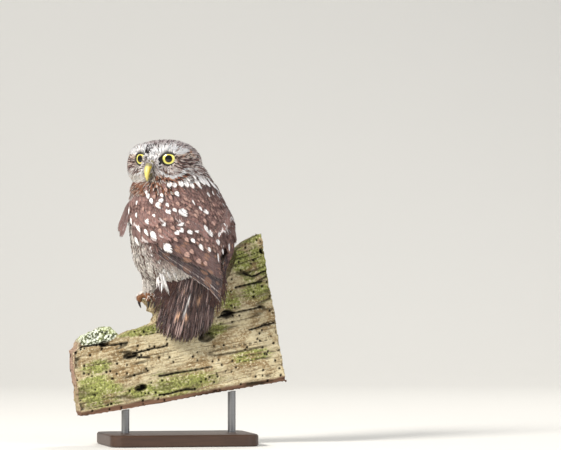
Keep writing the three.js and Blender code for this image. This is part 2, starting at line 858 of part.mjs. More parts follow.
// Board, as an upright outline given its thickness.
function board() {
  const outline = new THREE.Shape(BOARD_OUTLINE.map(([x, z]) => new THREE.Vector2(x, z)));
  const slab = new THREE.ExtrudeGeometry(outline, {
    depth: BOARD_THICK,
    bevelEnabled: false,
    curveSegments: 1,
  });
  slab.rotateX(Math.PI / 2);
  slab.translate(0, BOARD_FACE + BOARD_THICK, 0);
  slab.rotateZ(radians(BOARD_TURN));
  return toSolid(slab);
}

// A solid made larger by the gap on every side.
function grown(solid) {
  const copies = [];
  for (const x of [-GAP, GAP])
    for (const y of [-GAP, GAP]) for (const z of [-GAP, GAP]) copies.push(solid.translate(x, y, z));
  return union(copies);
}

// Stand: a rounded plate and two short rods up to the board's lower edge.
function boardPlace(x, y) {
  const turn = radians(BOARD_TURN);
  return [x * Math.cos(turn) - y * Math.sin(turn), x * Math.sin(turn) + y * Math.cos(turn)];
}

function base() {
  const [long, deep, high] = BASE;
  const [w, d] = [long / 2 - BASE_BEVEL, deep / 2 - BASE_BEVEL];
  const r = BASE_ROUND;
  const plate = new THREE.Shape();
  plate.moveTo(r - w, -d);
  plate.lineTo(w - r, -d);
  plate.absarc(w - r, r - d, r, -Math.PI / 2, 0);
  plate.absarc(w - r, d - r, r, 0, Math.PI / 2);
  plate.absarc(r - w, d - r, r, Math.PI / 2, Math.PI);
  plate.absarc(r - w, r - d, r, Math.PI, 1.5 * Math.PI);
  const solid = new THREE.ExtrudeGeometry(plate, {
    depth: high - 2 * BASE_BEVEL,
    bevelThickness: BASE_BEVEL,
    bevelSize: BASE_BEVEL,
    bevelSegments: 1,
    curveSegments: 5,
  });
  solid.translate(0, 0, BASE_BEVEL);
  solid.rotateZ(radians(BOARD_TURN));
  return toSolid(solid).translate([-OWL_AT[0], -OWL_AT[1], 0]);
}

// A rod from the plate upwards, ended by the board.
function rod(x, boardGrown) {
  const tall = 70; // more than the board leaves
  const bar = new THREE.CylinderGeometry(ROD_R, ROD_R, tall, 20);
  bar.rotateX(Math.PI / 2);
  const [px, py] = boardPlace(x, BOARD_FACE + BOARD_THICK / 2);
  bar.translate(px, py, tall / 2 + BASE[2] + GAP);
  return largest(toSolid(bar).subtract(boardGrown));
}

// Finishes
const finish = (color, roughness, metalness = 0) =>
  new THREE.MeshStandardMaterial({ color, roughness, metalness });
const PLUMAGE_BROWN = finish(0x6b4a3f, 0.85);
const FLIGHT_BROWN = finish(0x54393a, 0.8);
const PALE_PLUMAGE = finish(0xe2d6c8, 0.9);
const EYE_YELLOW = finish(0xd9cf4a, 0.15);
const BILL_YELLOW = finish(0xc9b548, 0.4);
const TOE_BROWN = finish(0xa9835f, 0.7);
const CLAW_DARK = finish(0x2a2220, 0.35);
const OLD_WOOD = finish(0x9c9670, 0.9);
const BASE_WOOD = finish(0x3d2c22, 0.5);
const ROD_STEEL = finish(0x8b8b8b, 0.35, 1);

const owl = new THREE.Group();
owl.position.set(OWL_AT[0], OWL_AT[1], 0);

function addNode(name, solid, material) {
  const mesh = new THREE.Mesh(toGeometry(solid), material);
  mesh.name = name;
  owl.add(mesh);
}

// Head, neck and torso are one form, parted by thin cuts.
const openings = union([opening(1), opening(-1)]);
const uppers = union([headForm().subtract(openings), lid(1), lid(-1), stack(NECK, 0, 28, 12)]);
const faceX = Math.cos(radians(HEAD_TURN));
const faceY = Math.sin(radians(HEAD_TURN));
const cutHeight = 262 + NECK_TILT * (HEAD_AT.x * faceX + HEAD_AT.y * faceY);
const cut = (offset, above) =>
  halfSpace(cutHeight + offset, -NECK_TILT * faceX, -NECK_TILT * faceY, above);
const eyes = [eye(1, 0), eye(-1, 0)];
const sockets = union([eye(1, GAP), eye(-1, GAP), billUpper(GAP), billLower(GAP)]);
const head = uppers.intersect(cut(GAP / 2, true)).subtract(sockets);
const neck = uppers
  .intersect(cut(-GAP / 2, false))
  .intersect(halfSpace(TORSO_TOP + GAP, 0, 0, true));
addNode("head", largest(head), PLUMAGE_BROWN);
addNode("neck", largest(neck), PLUMAGE_BROWN);
addNode("eye_left", eyes[0], EYE_YELLOW);
addNode("eye_right", eyes[1], EYE_YELLOW);
addNode("bill_upper", largest(billUpper(0).subtract(nostrils())), BILL_YELLOW);
addNode("bill_lower", largest(billLower(0).subtract(billUpper(GAP))), BILL_YELLOW);

const boardGrown = grown(board());
const torsoForm = (grow) => stack(TORSO, grow, 32, 17, pressed);
const torsoGrown = torsoForm(TORSO_CLEAR);
const torso = torsoForm(0).intersect(halfSpace(TORSO_TOP, 0, 0, false)).subtract(tailRoot(GAP));
const wingLeft = wing(LEFT_TIERS, ARM_INSET[0]).subtract(torsoGrown);
const wingRight = mirrorX(wing(RIGHT_TIERS, ARM_INSET[1])).subtract(torsoGrown).subtract(boardGrown);
const tailSolid = union([tailRoot(0), union(tailFeathers()).subtract(torsoGrown)]);
addNode("torso", largest(torso), PLUMAGE_BROWN);
addNode("wing_left", largest(wingLeft), FLIGHT_BROWN);
addNode("wing_right", largest(wingRight), FLIGHT_BROWN);
addNode("tail", largest(tailSolid), FLIGHT_BROWN);

const SIDES = ["left", "right"];
SIDES.forEach((name, k) => {
  const at = FEET[k];
  const toes = TOES[k];
  addNode("thigh_" + name, largest(thigh(at, 0).subtract(torsoGrown)), PALE_PLUMAGE);
  const shankSolid = shank(at, 0).subtract(thigh(at, GAP)).subtract(torsoGrown);
  addNode("shank_" + name, largest(shankSolid), PALE_PLUMAGE);
  const footSolid = foot(at, toes, 0).subtract(shank(at, GAP)).subtract(boardGrown);
  const footGrown = foot(at, toes, GAP);
  addNode("foot_" + name, largest(footSolid), TOE_BROWN);
  for (const [toe, outwards, reach, hangs] of toes) {
    const clawSolid = claw(at, outwards, reach, hangs).subtract(footGrown).subtract(boardGrown);
    addNode("claw_" + name + "_" + toe, largest(clawSolid), CLAW_DARK);
  }
});

addNode("perch_board", board(), OLD_WOOD);
addNode("stand_base", base(), BASE_WOOD);
addNode("stand_rod_near_end", rod(ROD_X[0], boardGrown), ROD_STEEL);
addNode("stand_rod_far_end", rod(ROD_X[1], boardGrown), ROD_STEEL);

export default owl;
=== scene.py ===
import functools
import math
from types import SimpleNamespace

import bmesh
import bpy
import numpy as np
from bpy.props import FloatProperty, FloatVectorProperty, IntProperty, PointerProperty
from bpy.types import Operator, Panel, PropertyGroup
from mathutils import Matrix, Vector
from mathutils.bvhtree import BVHTree


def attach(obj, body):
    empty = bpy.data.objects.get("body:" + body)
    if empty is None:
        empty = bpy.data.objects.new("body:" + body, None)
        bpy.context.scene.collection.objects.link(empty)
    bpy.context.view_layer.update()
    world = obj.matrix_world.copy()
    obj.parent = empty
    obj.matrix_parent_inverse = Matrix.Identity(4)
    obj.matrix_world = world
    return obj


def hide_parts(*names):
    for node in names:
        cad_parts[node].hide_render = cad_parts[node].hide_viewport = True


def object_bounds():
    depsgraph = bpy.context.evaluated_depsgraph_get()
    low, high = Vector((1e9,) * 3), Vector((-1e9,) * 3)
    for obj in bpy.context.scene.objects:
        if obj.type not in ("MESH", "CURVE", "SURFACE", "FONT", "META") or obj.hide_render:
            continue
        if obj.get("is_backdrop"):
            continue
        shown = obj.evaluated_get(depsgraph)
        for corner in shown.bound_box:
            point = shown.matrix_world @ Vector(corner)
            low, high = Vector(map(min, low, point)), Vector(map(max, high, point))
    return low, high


bl_info = {
    "name": "Little owl on a board",
    "version": (1, 0, 0),
    "blender": (4, 5, 0),
    "location": "3D View > Sidebar > Little owl",
    "description": "Dresses the little owl model with plumage, eyes, bill, feet, old board, stand and stage",
    "category": "Object",
}

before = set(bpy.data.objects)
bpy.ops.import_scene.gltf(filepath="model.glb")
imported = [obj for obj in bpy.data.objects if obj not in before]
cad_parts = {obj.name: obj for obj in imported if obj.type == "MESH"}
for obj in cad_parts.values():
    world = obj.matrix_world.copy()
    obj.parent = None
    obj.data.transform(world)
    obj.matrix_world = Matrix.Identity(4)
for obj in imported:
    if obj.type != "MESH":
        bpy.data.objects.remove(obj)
CAD_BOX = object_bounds()

# Sizes in the owl's own frame, in millimetres: breast towards -Y, left wing on +X
MM = 0.001
GAP = 0.3
OWL_AT = np.array([6.8, 12.3, 0.0])

# Plumage with the wings folded on it: height, centre y, half width, half depth
PLUMAGE = [
    [136, 40, 17, 20],
    [150, 30, 26, 28.5],
    [160, 23, 33, 34],
    [170, 17, 41, 39],
    [180, 12, 48, 43.5],
    [190, 9, 53, 45.5],
    [200, 7, 56, 46],
    [212, 3, 57.5, 47.5],
    [225, -0.5, 56.5, 47],
    [238, -5, 52.5, 44.5],
    [252, -8.6, 46.4, 41.6],
]
# Breast, belly, back and neck under the wings, in the same form
BODY = [
    [156, -2, 9, 8],
    [160, -2, 23, 18],
    [166, -2, 35, 27],
    [174, -2, 43, 34],
    [183, -1, 49, 38.5],
    [192, 2, 53, 42],
    [203, 3.5, 55, 45],
    [214, 2, 55.5, 45.5],
    [226, -1.5, 54.5, 45.5],
    [238, -5, 51, 43.5],
    [249, -8, 47.5, 42],
    [257, -9.5, 44.5, 41],
    [264, -10, 40, 38.5],
    [271, -8, 33.5, 34],
    [279, -9, 28, 30.5],
    [287, -12, 17, 20],
]

# Head: its middle, the turn of the face from +X towards +Y, half sizes and relief
HEAD_AT = np.array([5.0, -17.0, 279.0])
HEAD_TURN = math.radians(25)
HEAD_FRONT = 32.5
HEAD_BACK = 33.0
HEAD_SIDE = 36.5
HEAD_UP = 26.0
HEAD_DOWN = 25.0
HEAD_SQUARE = 2.25
FACE_RELIEF = [
    [16, 6.5, 9, 8, -3.6],
    [13, 16.5, 11, 4.2, 2.8],
    [0, 6, 4.5, 9, 1.6],
    [21, -9, 10, 7, 1.8],
    [0, -15, 9, 5, 2.2],
    [30, 4, 4, 14, 1.4],
]
EYE_R = 8.2
EYE_DEEP = 3.6
LID_R = 6.9
EYE_OUT = math.radians(20)
EYE_FRONT = [25.0, 16.0, 7.2]
CORNEA = 0.4
# Bill in the head's frame: paths of its halves, and rows of share along, half width, half height
UPPER_PATH = [(26, 0, 3.5), (33, 0, 3.1), (38.4, 0, -1.3), (41, 0, -7.3), (40, 0, -15.6)]
UPPER_SIZE = [[0, 3, 3], [0.3, 3.2, 3.6], [0.55, 2.9, 3.1], [0.8, 2.0, 2.1], [1, 0.4, 0.4]]
LOWER_PATH = [(26, 0, -9), (32, 0, -9.3), (36.8, 0, -11.7)]
LOWER_SIZE = [[0, 2.5, 2], [0.5, 2.1, 1.7], [1, 0.6, 0.6]]
# Nostril, to the side and up
NOSTRIL_AT = [3.3, 0.3]

# Tail
TAIL_ROOT = np.array([4.5, 37.0, 190.0])
TAIL_TIP = np.array([4.5, 8.5, 103.0])
TAIL_TURN = math.radians(30)
TAIL_SPREAD = 23.0
TAIL_ROOT_SPREAD = 5.0
TAIL_OPENING = 0.35
TAIL_ROUNDING = 6.5
RECTRICES = 12
RECTRIX_HALF = 8.4

# Legs and feet
LEDGE_Z = 146.0
FEET = [(24.0, -22.5), (-21.0, -21.0)]
CLAW_LENGTH = 8.0
# Toes of each foot: degrees outwards from straight ahead, reach on the wood, whether it hangs over
TOES = [
    [("toe_2", -26, 13, False), ("toe_3", 20, 7.8, True),
     ("toe_4", 150, 9, True), ("toe_1", 190, 9.8, True)],
    [("toe_2", -24, 13, False), ("toe_3", 18, 8.6, True),
     ("toe_4", 118, 12.5, False), ("toe_1", 180, 11, False)],
]
# Toe and claw: rows of share along, half width, half height
TOE_SIZE = [[0, 3.3, 3.2], [0.5, 3.1, 3.0], [0.85, 2.9, 2.8], [1, 1.7, 1.7]]
CLAW_SIZE = [[0, 1.45, 1.55], [0.4, 1.25, 1.3], [0.8, 0.65, 0.7], [1, 0.12, 0.12]]
TOE_BRISTLES = 70
# A toe's path: share of its reach, distance beyond it, height over the wood
HANGING_TOE = [(0, 0, 4.4), (0.5, 0, 4.2), (1, 0, 2.4), (1, 1.5, -1.8), (1, 0.8, -5.6), (1, -1, -9.4)]
LEVEL_TOE = [(0, 0, 4.2), (0.5, 0, 4.3), (1, 0, 3.3), (1, 4, 3.4), (1, 7.6, 0.6)]

# Board, seen from the tail's side, and stand
BOARD_TURN = math.radians(151)
BOARD_FACE = 3.0
BOARD_THICK = 30.0
GRAIN_SLOPE = math.radians(11)

SEED = 4705

# Distance between points of the forms that are joined into one surface, in metres
SKIN_STEP = 0.0016
FACE_STEP = 0.0009
TOE_STEP = 0.00042

# Across of each feather's patch on the unwrap
PATCH = 0.003


def srgb(red, green, blue):
    """A colour given as 0 to 255, in the linear values that shaders use."""
    share = np.array([red, green, blue]) / 255
    return tuple(np.where(share <= 0.04045, share / 12.92, ((share + 0.055) / 1.055) ** 2.4))


def colour_setting(name, description, *tone):
    tone = srgb(*tone)
    return FloatVectorProperty(name=name, description=description, default=tone, size=3, subtype="COLOR")


def number_setting(name, description, default, low=0.0, **rest):
    return FloatProperty(name=name, description=description, default=default, min=low, **rest)


class OwlPlumageSettings(PropertyGroup):
    """Colours and sizes of the plumage, in millimetres."""

    back_brown: colour_setting("Back brown", "Ground colour of the back and wing coverts", 146, 112, 104)
    flight_brown: colour_setting("Flight brown", "Ground colour of the wing's long feathers", 78, 62, 63)
    tail_brown: colour_setting("Tail brown", "Ground colour of the tail", 80, 56, 52)
    white: colour_setting("White", "White spots, brows and chin", 250, 246, 243)
    cream: colour_setting("Cream", "Belly, flanks and legs", 252, 244, 236)
    buff: colour_setting("Buff", "Spots of the tail and flight feathers", 196, 148, 118)
    rufous: colour_setting("Rufous", "Band under the chin and streaks of the flanks", 140, 88, 62)
    coat_depth: number_setting("Coat depth", "Depth of the body's feathers over the skin", 3.0, 0.5, max=8)
    body_spacing: number_setting("Body spacing", "Distance between feathers of the body", 3.6, 1, max=10)


class OwlEyeSettings(PropertyGroup):
    """Colours and sizes of the eyes, the bill and the feet, in millimetres."""

    iris: colour_setting("Iris", "Colour of the iris", 216, 216, 124)
    iris_radius: number_setting("Iris radius", "Radius of the iris", 6.3, 2, max=8)
    pupil_radius: number_setting("Pupil radius", "Radius of the pupil", 3.7, 1, max=6)
    bill: colour_setting("Bill", "Colour of the horn of the bill", 204, 178, 46)
    claw: colour_setting("Claw", "Colour of the claws", 40, 32, 30)
    toe: colour_setting("Toe", "Colour of the skin of the toes", 146, 96, 60)


class OwlBoardSettings(PropertyGroup):
    """Colours and sizes of the old board and its stand."""

    straw: colour_setting("Straw", "Bleached wood", 190, 176, 142)
    # Brown: tone of the darker band along the board's lower edge.
    brown: colour_setting("Brown", "Damp wood of the lower edge", 128, 96, 76)
    algae: colour_setting("Algae", "Green algae on the wood", 132, 140, 62)
    lichen: colour_setting("Lichen", "Pale crust of lichen", 214, 218, 200)
    holes: IntProperty(
        name="Worm holes", description="How many worm holes the near face shows", default=260, min=0, max=600)
    voxel: number_setting("Surface step", "Distance between its points", 0.00105, 0.0005, unit="LENGTH")
    base_wood: colour_setting("Base wood", "Stained wood of the base", 66, 46, 34)
    steel: colour_setting("Steel", "Brushed steel of the rods", 150, 150, 150)


class OwlStageSettings(PropertyGroup):
    """Camera, light and floor."""

    distance: number_setting("Camera distance", "From the owl to the camera", 6.0, 1, unit="LENGTH")
    azimuth: number_setting("Camera azimuth", "Direction of the camera", math.radians(140), subtype="ANGLE")
    elevation: number_setting("Camera elevation", "Its height", math.radians(0.6), subtype="ANGLE")
    view_width: number_setting("View width", "Width of the picture at the owl", 0.561, 0.1, unit="LENGTH")
    floor: colour_setting("Floor", "Colour of the floor and backdrop", 214, 212, 206)
    key_power: number_setting("Key light", "Power of the main light", 104.0)
    fill_power: number_setting("Fill light", "Power of the fill light", 24.0)


# Small helpers
def settings(name):
    """The values of a group of settings, with colours as arrays."""
    group = getattr(bpy.context.scene, name)
    values = {key: getattr(group, key) for key in group.__annotations__}
    return SimpleNamespace(**{key: np.array(value) if hasattr(value, "__len__") else value
                              for key, value in values.items()})


def dice(seed):
    return np.random.default_rng(SEED + seed)


def to_world(points):
    """Owl's frame in millimetres to the row's frame in metres."""
    return (np.asarray(points) + OWL_AT) * MM


def unit(vectors):
    return vectors / np.maximum(np.linalg.norm(vectors, axis=-1, keepdims=True), 1e-9)


def dot(a, b):
    return (a * b).sum(axis=-1, keepdims=True)


def ease(value, low, high):
    """0 below low, 1 above high, smooth between; low may be the greater one."""
    t = np.clip((np.asarray(value, float) - low) / (high - low), 0, 1)
    return t * t * (3 - 2 * t)


def blob(distance, spread):
    return np.exp(-((distance / spread) ** 2))


def blend(a, b, share):
    share = np.asarray(share)[..., None]
    return np.asarray(a) * (1 - share) + np.asarray(b) * share


def smooth_table(rows):
    """Smooth values between the rows of a table whose first column rises."""
    rows = np.array(rows, float)
    keys, values = rows[:, 0], rows[:, 1:]
    slopes = np.gradient(values, keys, axis=0)

    def at(key):
        key = np.clip(np.asarray(key, float), keys[0], keys[-1])
        i = np.clip(np.searchsorted(keys, key, side="right") - 1, 0, len(keys) - 2)
        gap = (keys[i + 1] - keys[i])[..., None]
        t = (key - keys[i])[..., None] / gap
        return (
            (1 + 2 * t) * (1 - t) ** 2 * values[i]
            + t * (1 - t) ** 2 * gap * slopes[i]
            + t * t * (3 - 2 * t) * values[i + 1]
            + t * t * (t - 1) * gap * slopes[i + 1]
        )

    return at


plumage_at = smooth_table(PLUMAGE)


def on_plumage(angle, z, lift):
    """Points on the plumage: degrees round it (0 left, 90 back), a height and a lift off it."""
    y, wide, deep = np.moveaxis(plumage_at(z), -1, 0)
    turn = np.radians(angle)
    return np.stack([(wide + lift) * np.cos(turn), y + (deep + lift) * np.sin(turn), z], axis=-1)


def plumage_normal(angle, z):
    step = 0.5
    across = on_plumage(angle + step, z, 0) - on_plumage(angle - step, z, 0)
    upright = on_plumage(angle, z + step, 0) - on_plumage(angle, z - step, 0)
    return unit(np.cross(across, upright))


def plumage_angle(points):
    y, wide, deep = np.moveaxis(plumage_at(points[..., 2]), -1, 0)
    return np.degrees(np.arctan2((points[..., 1] - y) / deep, points[..., 0] / wide))


# Frame of the head: face, left, up
HEAD_FACE = np.array([math.cos(HEAD_TURN), math.sin(HEAD_TURN), 0])
HEAD_LEFT = np.array([-math.sin(HEAD_TURN), math.cos(HEAD_TURN), 0])
HEAD_AXES = np.array([HEAD_FACE, HEAD_LEFT, [0, 0, 1]])


def in_head(points):
    """Owl's frame to face, left and up of the head."""
    return (np.asarray(points) - HEAD_AT) @ HEAD_AXES.T


def from_head(points):
    return np.asarray(points) @ HEAD_AXES + HEAD_AT


def head_radius(way):
    """Distance from the head's middle to its surface along unit directions of the head's frame."""
    long = np.where(way[..., 0] > 0, HEAD_FRONT, HEAD_BACK)
    tall = np.where(way[..., 2] > 0, HEAD_UP, HEAD_DOWN)
    total = (
        np.abs(way[..., 0] / long) ** HEAD_SQUARE
        + np.abs(way[..., 1] / HEAD_SIDE) ** HEAD_SQUARE
        + np.abs(way[..., 2] / tall) ** HEAD_SQUARE
    )
    radius = total ** (-1 / HEAD_SQUARE)
    left, up = np.abs(way[..., 1]) * radius, way[..., 2] * radius
    relief = np.zeros_like(radius)
    for at_left, at_up, wide, high, height in FACE_RELIEF:
        relief += height * np.exp(-(((left - at_left) / wide) ** 2) - ((up - at_up) / high) ** 2)
    return radius + relief * np.clip(way[..., 0] * 2.5, 0, 1)


def eye_axis(side):
    """Middle of an eye's ball and its line of sight, in the owl's frame. side is 1 on the left."""
    turn = EYE_OUT * side
    sight = np.array([math.cos(turn), math.sin(turn), 0])
    front = np.array([EYE_FRONT[0], EYE_FRONT[1] * side, EYE_FRONT[2]])
    return from_head(front - sight * (EYE_DEEP + CORNEA)), sight @ HEAD_AXES


TAIL_ALONG = unit(TAIL_TIP - TAIL_ROOT)
TAIL_ACROSS = np.array([math.cos(TAIL_TURN), -math.sin(TAIL_TURN), 0])
TAIL_OUT = unit(np.cross(TAIL_ALONG, TAIL_ACROSS))
TAIL_OUT = TAIL_OUT * np.sign(TAIL_OUT[1])
TAIL_LENGTH = float(np.linalg.norm(TAIL_TIP - TAIL_ROOT))


def tail_point(along, across, out):
    along, across, out = np.broadcast_arrays(along, across, out)
    return (
        TAIL_ROOT
        + TAIL_ALONG * along[..., None]
        + TAIL_ACROSS * across[..., None]
        + TAIL_OUT * out[..., None]
    )


def board_place(x, y, z):
    """Along the board, away from its near side, up: to the owl's frame."""
    x, y, z = np.broadcast_arrays(x, y, z)
    cos, sin = math.cos(BOARD_TURN), math.sin(BOARD_TURN)
    return np.stack([x * cos - y * sin, x * sin + y * cos, z], axis=-1)


def in_board(points):
    cos, sin = math.cos(BOARD_TURN), math.sin(BOARD_TURN)
    x, y = points[..., 0], points[..., 1]
    return np.stack([x * cos + y * sin, y * cos - x * sin, points[..., 2]], axis=-1)


# The photo is 561 by 450; a few marks are placed by where they show in it
PICTURE = np.array([561.0, 450.0])
PICTURE_MIDDLE_X = 0.1032
PICTURE_MIDDLE_Z = 0.22


def camera_frame():
    """Camera place, and its directions to the right, up and back, in metres of the row's frame."""
    stage = settings("owl_stage")
    facing = np.array([math.sin(stage.azimuth), -math.cos(stage.azimuth), 0])
    right = np.cross([0, 0, 1], facing)
    back = facing * math.cos(stage.elevation) + np.array([0, 0, math.sin(stage.elevation)])
    up = np.cross(back, right)
    target = right * PICTURE_MIDDLE_X + np.array([0, 0, PICTURE_MIDDLE_Z])
    return target + back * stage.distance, right, up, back


def picture_ray(x, y):
    """The camera's place and the way from it to a place of the photo, in the owl's millimetres."""
    stage = settings("owl_stage")
    camera, right, up, back = camera_frame()
    scale = stage.view_width / PICTURE[0]
    way = right * (x - PICTURE[0] / 2) * scale + up * (PICTURE[1] / 2 - y) * scale - back * stage.distance
    return camera / MM - OWL_AT, unit(way)


def from_picture(x, y, surface):
    """The near point of a surface, in the owl's millimetres, that shows at a place of the photo."""
    start, way = picture_ray(x, y)
    point = surface.ray_cast(Vector(start), Vector(way))[0]
    if point is None:
        aim = start + way * (settings("owl_stage").distance / MM)
        point = surface.find_nearest(Vector(aim))[0]
    return np.array(point)


def patch_share(points, patches, surface):
    """1 inside patches of the photo, given as place and radius, 0 outside, for points on the bird."""
    share = np.zeros(len(points))
    for x, y, radius in patches:
        far = np.linalg.norm(points - from_picture(x, y, surface), axis=1)
        share = np.maximum(share, ease(far, radius * 1.2, radius * 0.7))
    return share


def near_lines(across, upright, knots):
    """Distance of places from a line through knots, in a plane."""
    knots = np.array(knots, float)
    place = np.column_stack([across, upright])
    best = np.full(len(place), 1e9)
    for a, b in zip(knots, knots[1:]):
        t = np.clip(((place - a) @ (b - a)) / ((b - a) @ (b - a)), 0, 1)
        best = np.minimum(best, np.linalg.norm(place - a - t[:, None] * (b - a), axis=1))
    return best


# Making pieces
def make_piece(name, mesh, material, smooth=True):
    """A piece at the origin that rides on the model's one body."""
    mesh.name = name
    piece = bpy.data.objects.new(name, mesh)
    bpy.context.collection.objects.link(piece)
    mesh.materials.append(material)
    if smooth:
        mesh.shade_smooth()
    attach(piece, "root")
    return piece


def mesh_of(bm):
    """A mesh in metres from a bmesh in the owl's millimetres."""
    bmesh.ops.recalc_face_normals(bm, faces=bm.faces)
    bmesh.ops.transform(bm, matrix=Matrix.Translation(Vector(OWL_AT)), verts=bm.verts)
    bmesh.ops.scale(bm, vec=(MM, MM, MM), verts=bm.verts)
    mesh = bpy.data.meshes.new("form")
    bm.to_mesh(mesh)
    bm.free()
    return mesh


def mesh_from_arrays(points, faces):
    """A mesh in metres from triangles in the owl's millimetres."""
    mesh = bpy.data.meshes.new("form")
    mesh.vertices.add(len(points))
    mesh.vertices.foreach_set("co", to_world(points).astype(np.float32).ravel())
    mesh.loops.add(faces.size)
    mesh.loops.foreach_set("vertex_index", faces.astype(np.int32).ravel())
    mesh.polygons.add(len(faces))
    mesh.polygons.foreach_set("loop_start", np.arange(0, faces.size, 3, dtype=np.int32))
    mesh.update(calc_edges=True)
    return mesh


def arrays_of(mesh):
    """Points in the owl's millimetres, vertex normals and triangles of a mesh."""
    points = np.empty(len(mesh.vertices) * 3, np.float32)
    mesh.vertices.foreach_get("co", points)
    normals = np.empty(len(mesh.vertices) * 3, np.float32)
    mesh.vertex_normals.foreach_get("vector", normals)
    mesh.calc_loop_triangles()
    triangles = np.empty(len(mesh.loop_triangles) * 3, np.int32)
    mesh.loop_triangles.foreach_get("vertices", triangles)
    points = points.reshape(-1, 3).astype(float) / MM - OWL_AT
    return points, normals.reshape(-1, 3).astype(float), triangles.reshape(-1, 3)


def move_points(mesh, points):
    mesh.vertices.foreach_set("co", to_world(points).astype(np.float32).ravel())
    mesh.update()


def set_colour(mesh, name, colours):
    """A colour for each point of a mesh, with alpha 1 where none is given."""
    colours = np.asarray(colours, np.float32)
    if colours.shape[1] == 3:
        colours = np.hstack([colours, np.ones((len(colours), 1), np.float32)])
    layer = mesh.attributes.new(name, "FLOAT_COLOR", "POINT")
    layer.data.foreach_set("color", colours.ravel())


def set_vector(mesh, name, vectors):
    layer = mesh.attributes.new(name, "FLOAT_VECTOR", "POINT")
    layer.data.foreach_set("vector", np.asarray(vectors, np.float32).ravel())


def set_map(mesh, name, places, faces):
    layer = mesh.uv_layers.new(name=name)
    layer.data.foreach_set("uv", places[faces.ravel()].astype(np.float32).ravel())


def remeshed(mesh, voxel, smoothing):
    """Joins the overlapping closed forms of a mesh into one smooth surface."""
    holder = bpy.data.objects.new("form", mesh)
    bpy.context.collection.objects.link(holder)
    step = holder.modifiers.new("Remesh", "REMESH")
    step.mode = "VOXEL"
    step.voxel_size = voxel
    soften = holder.modifiers.new("Smooth", "SMOOTH")
    soften.factor = 0.5
    soften.iterations = smoothing
    graph = bpy.context.evaluated_depsgraph_get()
    result = bpy.data.meshes.new_from_object(holder.evaluated_get(graph))
    bpy.data.objects.remove(holder)
    return result


def runs_of(points):
    """Length along a path to each of its points."""
    return np.concatenate([[0], np.cumsum(np.linalg.norm(np.diff(points, axis=0), axis=1))])


def smooth_path(knots):
    """A smooth path through knots, by share of its length."""
    runs = runs_of(knots)
    return smooth_table(np.column_stack([runs / runs[-1], knots]))


def move_new(bm, made, shift):
    """Moves what an extrusion made."""
    verts = [item for item in made["geom"] if isinstance(item, bmesh.types.BMVert)]
    bmesh.ops.translate(bm, vec=Vector(shift), verts=verts)


def add_ball(bm, around, along, radius=1.0):
    return bmesh.ops.create_uvsphere(bm, u_segments=around, v_segments=along, radius=radius)["verts"]


def add_form(bm, around, along, place):
    """Adds a closed form; place gives its point by a share from end to end and a turn round it."""
    for vert in add_ball(bm, around, along):
        share = math.acos(max(-1.0, min(1.0, vert.co.z))) / math.pi
        pole = share < 1e-3 or share > 1 - 1e-3
        vert.co = place(share, None if pole else math.atan2(vert.co.y, vert.co.x))


def add_sweep(bm, path, radii, around=14, along=18, upright=(0, 0, 1)):
    """Adds a round form along a smooth path of points; radii are rows of share, half width, half height."""
    line = smooth_path(path)
    size = smooth_table(radii)
    hint = np.array(upright, float)

    def place(share, turn):
        middle = line(share)
        if turn is None:
            return Vector(middle)
        along_way = unit(line(min(1, share + 0.02)) - line(max(0, share - 0.02)))
        across = unit(np.cross(along_way, hint))
        up = np.cross(across, along_way)
        wide, high = size(share)
        return Vector(middle + across * wide * math.cos(turn) + up * high * math.sin(turn))

    add_form(bm, around, along, place)


def add_body(bm, rows, around, along):
    """Adds a stack of level ovals from a table."""
    at = smooth_table(rows)
    low, high = rows[0][0], rows[-1][0]

    def place(share, turn):
        z = high + (low - high) * share
        y, wide, deep = at(z)
        if turn is None:
            return Vector((0, y, z))
        return Vector((wide * math.cos(turn), y + deep * math.sin(turn), z))

    add_form(bm, around, along, place)


def add_head(bm):
    ball = add_ball(bm, 96, 64)
    ways = unit(np.array([vert.co for vert in ball], float))
    for vert, point in zip(ball, from_head(ways * head_radius(ways)[:, None])):
        vert.co = Vector(point)


def leg_path(foot):
    """Thigh and shank down to the foot."""
    x, y = foot
    return [(x, y + 17, 184), (x, y + 12, 172), (x, y + 6, 161), (x, y + 2.5, 155), (x, y, 149.5)]


LEG_SIZE = [[0, 15, 13.5], [0.35, 13.5, 12.5], [0.65, 9.5, 8.8], [0.85, 6.8, 6.4], [1, 5.6, 5]]
RUMP_SIZE = [[0, 10, 5], [0.4, 14, 6.6], [0.8, 13, 4], [1, 7, 2]]


# Materials
def reckoned(operation):
    """A way to reckon with shader values, by one of the maths node's operations."""
    return lambda value, *others: value.finish.maths(operation, value, *others)


class Value:
    """A value of a shader, to reckon with."""

    __add__ = reckoned("ADD")
    __sub__ = reckoned("SUBTRACT")
    __mul__ = reckoned("MULTIPLY")
    __truediv__ = reckoned("DIVIDE")
    __pow__ = reckoned("POWER")
    __abs__ = reckoned("ABSOLUTE")

    def __init__(self, finish, socket):
        self.finish = finish
        self.socket = socket


